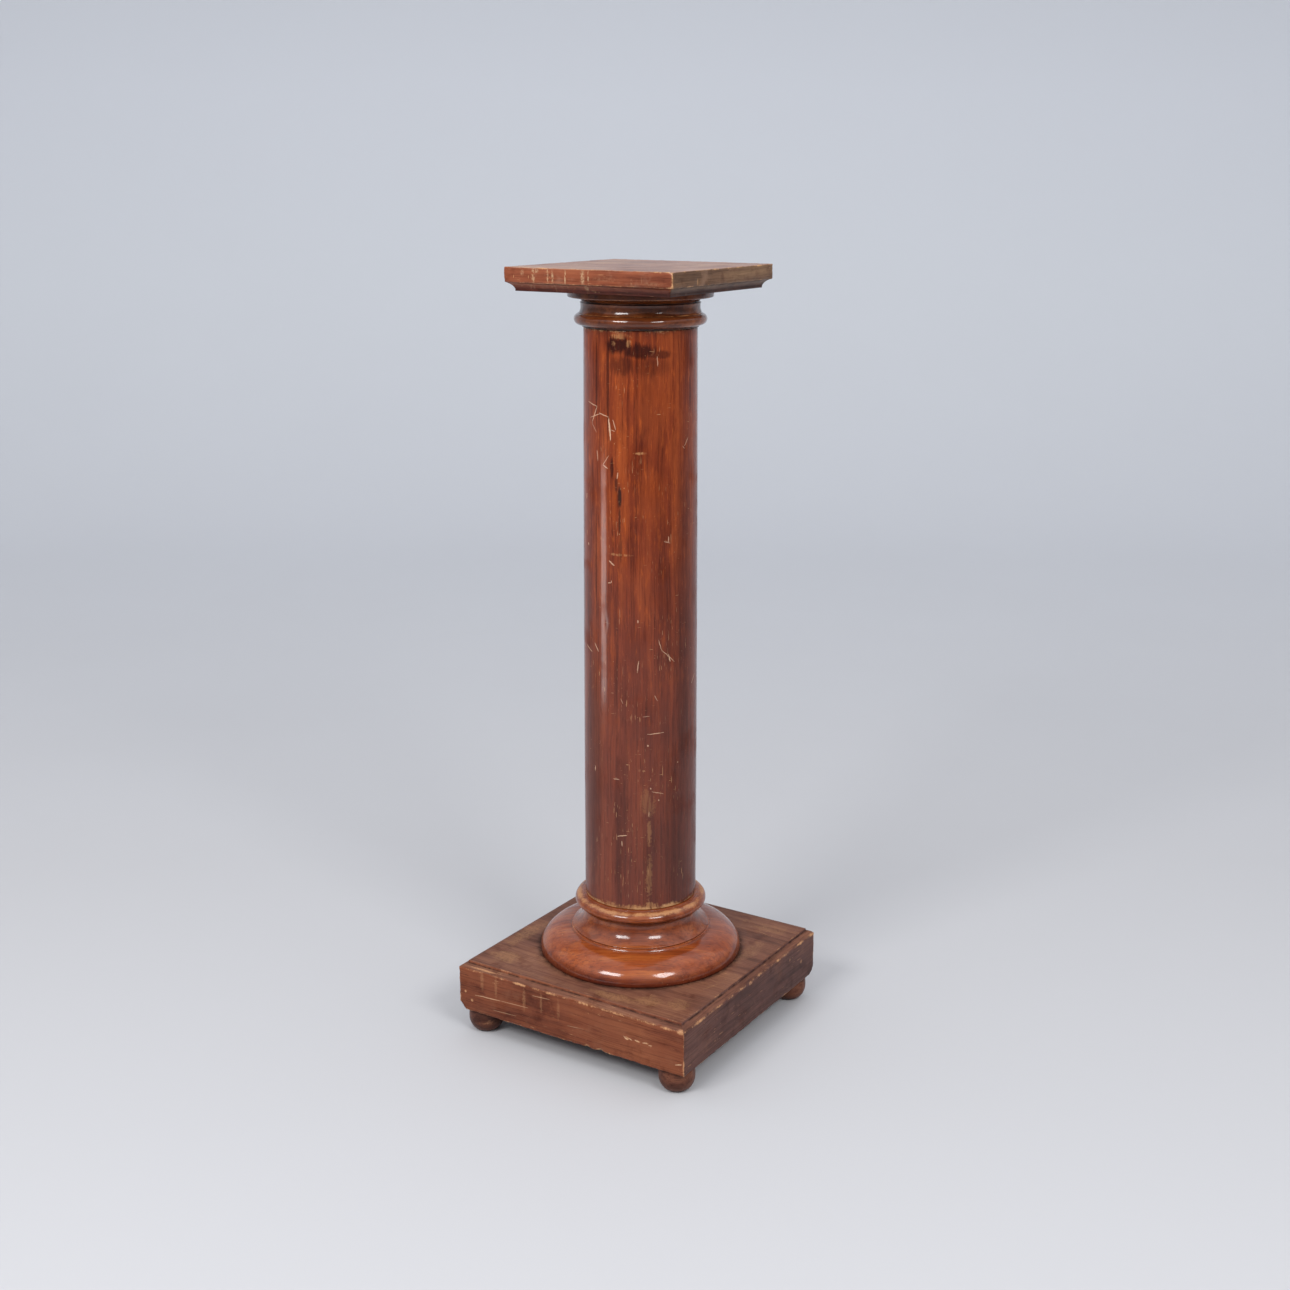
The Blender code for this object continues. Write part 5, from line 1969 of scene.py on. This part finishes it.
@dataclass
class Pedestal:
    """The whole pedestal: a moulded base on a footed plinth, a shaft, a capital and a top board."""

    def column(self) -> list[Piece]:
        """Give the turned pieces of the column.

        Returns:
            The pieces.
        """
        gloss = Varnish(0.42, 1.0, 0.12, 0.30)
        return [
            Shaft(node="shaft", name="shaft_varnished", slot="shaft_wood", steps=192,
                  finish=ShaftFinish("shaft_mahogany", MAHOGANY, Varnish(0.44, 0.90, 0.10, 0.30, 1.32),
                                     2.6, 70.0, 0.010, 0.80, 0.75)),
            Torus(node="base_torus", name="torus_polished", slot="base_wood", steps=192,
                  finish=TurnedFinish("torus_polish", TORUS_STAIN, gloss, 7.0, 60.0, 0.014, 0.70, 0.35,
                                      # Painted shade on the lower face of the cushion.
                                      shade=(0.1110, 0.1310))),
            Collar(node="base_collar", name="collar_polished", slot="base_wood",
                   finish=TurnedFinish("collar_polish", COLLAR_STAIN, gloss, 8.0, 64.0, 0.012, 0.95, 0.40)),
            Capital(node="capital", name="capital_polished", slot="capital_wood",
                    finish=TurnedFinish("capital_polish", CAPITAL_STAIN, Varnish(0.38, 1.0, 0.08, 0.24),
                                        8.0, 64.0, 0.010, 0.70, 0.25)),
        ]

    def feet(self) -> list[Piece]:
        """Give the four bun feet, each where its solid stands.

        Returns:
            The pieces.
        """
        finish = TurnedFinish("foot_stain", FOOT_STAIN, Varnish(0.42, 0.25, 0.25, 0.30),
                              14.0, 90.0, 0.006, 0.8, 0.3)
        feet: list[Piece] = []
        for end in ("front_left", "front_right", "back_left", "back_right"):
            low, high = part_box(f"foot_{end}")
            feet.append(BunFoot(node=f"foot_{end}", name=f"bun_foot_{end}", slot="foot_wood", steps=72,
                                finish=finish, middle=((low.x + high.x) / 2.0, (low.y + high.y) / 2.0)))
        return feet

    def squares(self) -> list[Piece]:
        """Give the top board and the plinth.

        Returns:
            The pieces.
        """
        board = SquareFinish(
            "board_stain", BOARD_STAIN, Varnish(0.46, 0.40, 0.22, 0.40), 5.0, 95.0, 0.010, 0.61, 1.2,
            # Painted shade in the cove under the board.
            (1.0710, 1.0790),
            short=Stain((72, 50, 36), (112, 82, 60), (140, 108, 78), (168, 128, 88), (40, 28, 22)),
            top_stain_as_lit=Stain((116, 82, 68), (154, 116, 98), (184, 146, 120), (190, 156, 128), (44, 32, 28)),
            drips=patches(
                (-0.083, 1.0905, 0.004, 0.015, 0.85, 1.9), (-0.0785, 1.096, 0.006, 0.004, 0.7, 1.3),
                (-0.06, 1.0905, 0.0022, 0.015, 0.8, 1.2), (-0.052, 1.09, 0.0026, 0.015, 0.7, 1.3),
                (-0.0321, 1.0895, 0.0016, 0.015, 0.9, 0.9), (-0.005, 1.089, 0.0048, 0.015, 0.75, 2.0),
                (0.004, 1.0895, 0.0016, 0.013, 0.6, 1.2), (-0.101, 1.093, 0.004, 0.006, 0.4, 1.6),
                (-0.0905, 1.0735, 0.006, 0.007, 0.55, 1.6), (-0.0033, 1.0735, 0.0045, 0.008, 0.9, 1.4),
                (-0.053, 1.0735, 0.0016, 0.008, 0.7, 1.2), (-0.033, 1.0735, 0.0012, 0.008, 0.6, 1.2),
                (0.03, 1.088, 0.03, 0.004, 0.16, 2.4), (0.07, 1.085, 0.0024, 0.007, 0.25, 2.0),
                (0.085, 1.088, 0.0016, 0.006, 0.25, 2.0), (0.1, 1.084, 0.026, 0.004, 0.18, 2.4),
                (-0.035, 1.0795, 0.09, 0.0008, 0.7, 1.3), (-0.02, 1.0994, 0.11, 0.0007, 0.6, 1.3),
            ),
            right_patches=patches((-0.069, 1.085, 0.0022, 0.0055, 0.8, 0.9)),
            top_patches=patches((-0.02, -0.095, 0.05, 0.014, 0.6, 1.6), (0.07, 0.02, 0.03, 0.05, 0.4, 1.8),
                                (-0.08, 0.05, 0.03, 0.04, 0.4, 1.8)),
        )
        plinth = SquareFinish(
            "plinth_stain", PLINTH_STAIN, Varnish(0.54, 0.20, 0.30, 0.45), 4.0, 80.0, 0.012, 0.69, 0.9,
            short=Stain((62, 38, 34), (90, 58, 51), (114, 78, 66), (190, 142, 104), (34, 22, 19)),
            top_stain_as_lit=Stain((72, 43, 33), (112, 72, 56), (138, 94, 70), (156, 114, 78), (42, 28, 22)),
            front_patches=patches(
                (-0.1811, 0.0649, 0.0026, 0.0026, 1.0, 0.6), (-0.1695, 0.0536, 0.0028, 0.0028, 1.0, 0.6),
                (0.0335, 0.0372, 0.005, 0.004, 1.0, 0.8), (0.0555, 0.0375, 0.008, 0.0032, 1.0, 0.8),
                (0.1, 0.069, 0.0045, 0.003, 0.9, 1.2), (0.118, 0.069, 0.006, 0.0022, 0.7, 1.4),
                (0.132, 0.07, 0.005, 0.002, 0.6, 1.4), (0.186, 0.101, 0.007, 0.004, 0.8, 1.4),
                (-0.15, 0.1045, 0.03, 0.001, 0.7, 1.2), (-0.15, 0.09, 0.004, 0.02, 0.25, 1.8),
                (-0.125, 0.085, 0.003, 0.022, 0.25, 1.8), (-0.075, 0.08, 0.0035, 0.022, 0.3, 1.8),
                (-0.045, 0.082, 0.0025, 0.02, 0.25, 1.8), (-0.015, 0.08, 0.003, 0.02, 0.2, 1.8),
            ),
            front_scratches=scratches(
                (-0.1636, 0.0632, -0.118, 0.0662, 1.1, 0.75), (-0.118, 0.0662, -0.0681, 0.0686, 0.8, 0.5),
                (0.095, 0.0705, 0.101, 0.067, 1.4, 0.9), (0.103, 0.07, 0.109, 0.068, 1.2, 0.8),
                (0.113, 0.0695, 0.12, 0.069, 1.2, 0.8), (0.126, 0.069, 0.133, 0.0705, 1.1, 0.8),
                (0.136, 0.068, 0.1412, 0.0688, 1.0, 0.7), (0.1781, 0.051, 0.1892, 0.0543, 1.2, 0.85),
                (-0.13, 0.048, -0.09, 0.05, 0.8, 0.4), (0.0, 0.06, 0.028, 0.062, 0.7, 0.4),
                (-0.06, 0.09, -0.03, 0.092, 0.9, 0.5),
            ),
            right_patches=patches((-0.0067, 0.099, 0.006, 0.003, 0.8, 1.2),
                                  (0.113, 0.0873, 0.003, 0.003, 0.6, 1.2),
                                  (0.15, 0.07, 0.004, 0.004, 0.5, 1.2)),
            top_patches=patches(
                (-0.142, -0.144, 0.03, 0.022, 0.7, 1.8), (-0.165, -0.06, 0.016, 0.06, 0.6, 1.8),
                (0.06, -0.166, 0.05, 0.012, 0.7, 1.8), (0.11, -0.15, 0.024, 0.02, 0.6, 1.8),
                (0.15, -0.14, 0.02, 0.022, 0.5, 1.8), (0.15, 0.06, 0.016, 0.05, 0.4, 1.8),
                (0.14, 0.15, 0.03, 0.02, 0.4, 1.8),
            ),
            top_scratches=scratches((0.12, 0.135, 0.15, 0.128, 1.0, 0.6),
                                    (-0.16, -0.02, -0.15, 0.03, 0.9, 0.5),
                                    (0.155, -0.08, 0.165, -0.05, 1.0, 0.6)),
        )
        return [
            TopBoard(node="top_board", name="top_board_worn", slot="board_wood", finish=board, pitch=0.0030),
            Plinth(node="plinth", name="plinth_worn", slot="plinth_wood", finish=plinth),
        ]

    def build(self, effects: Effects) -> None:
        """Build every piece.

        Args:
            effects: The shared effects.
        """
        for piece in [*self.squares(), *self.column(), *self.feet()]:
            piece.build(effects)


def main() -> None:
    """Build the pedestal and its studio."""
    logging.basicConfig(level=logging.INFO, format="%(message)s")
    Pedestal().build(Effects())
    Studio().build()


if __name__ == "__main__":
    main()
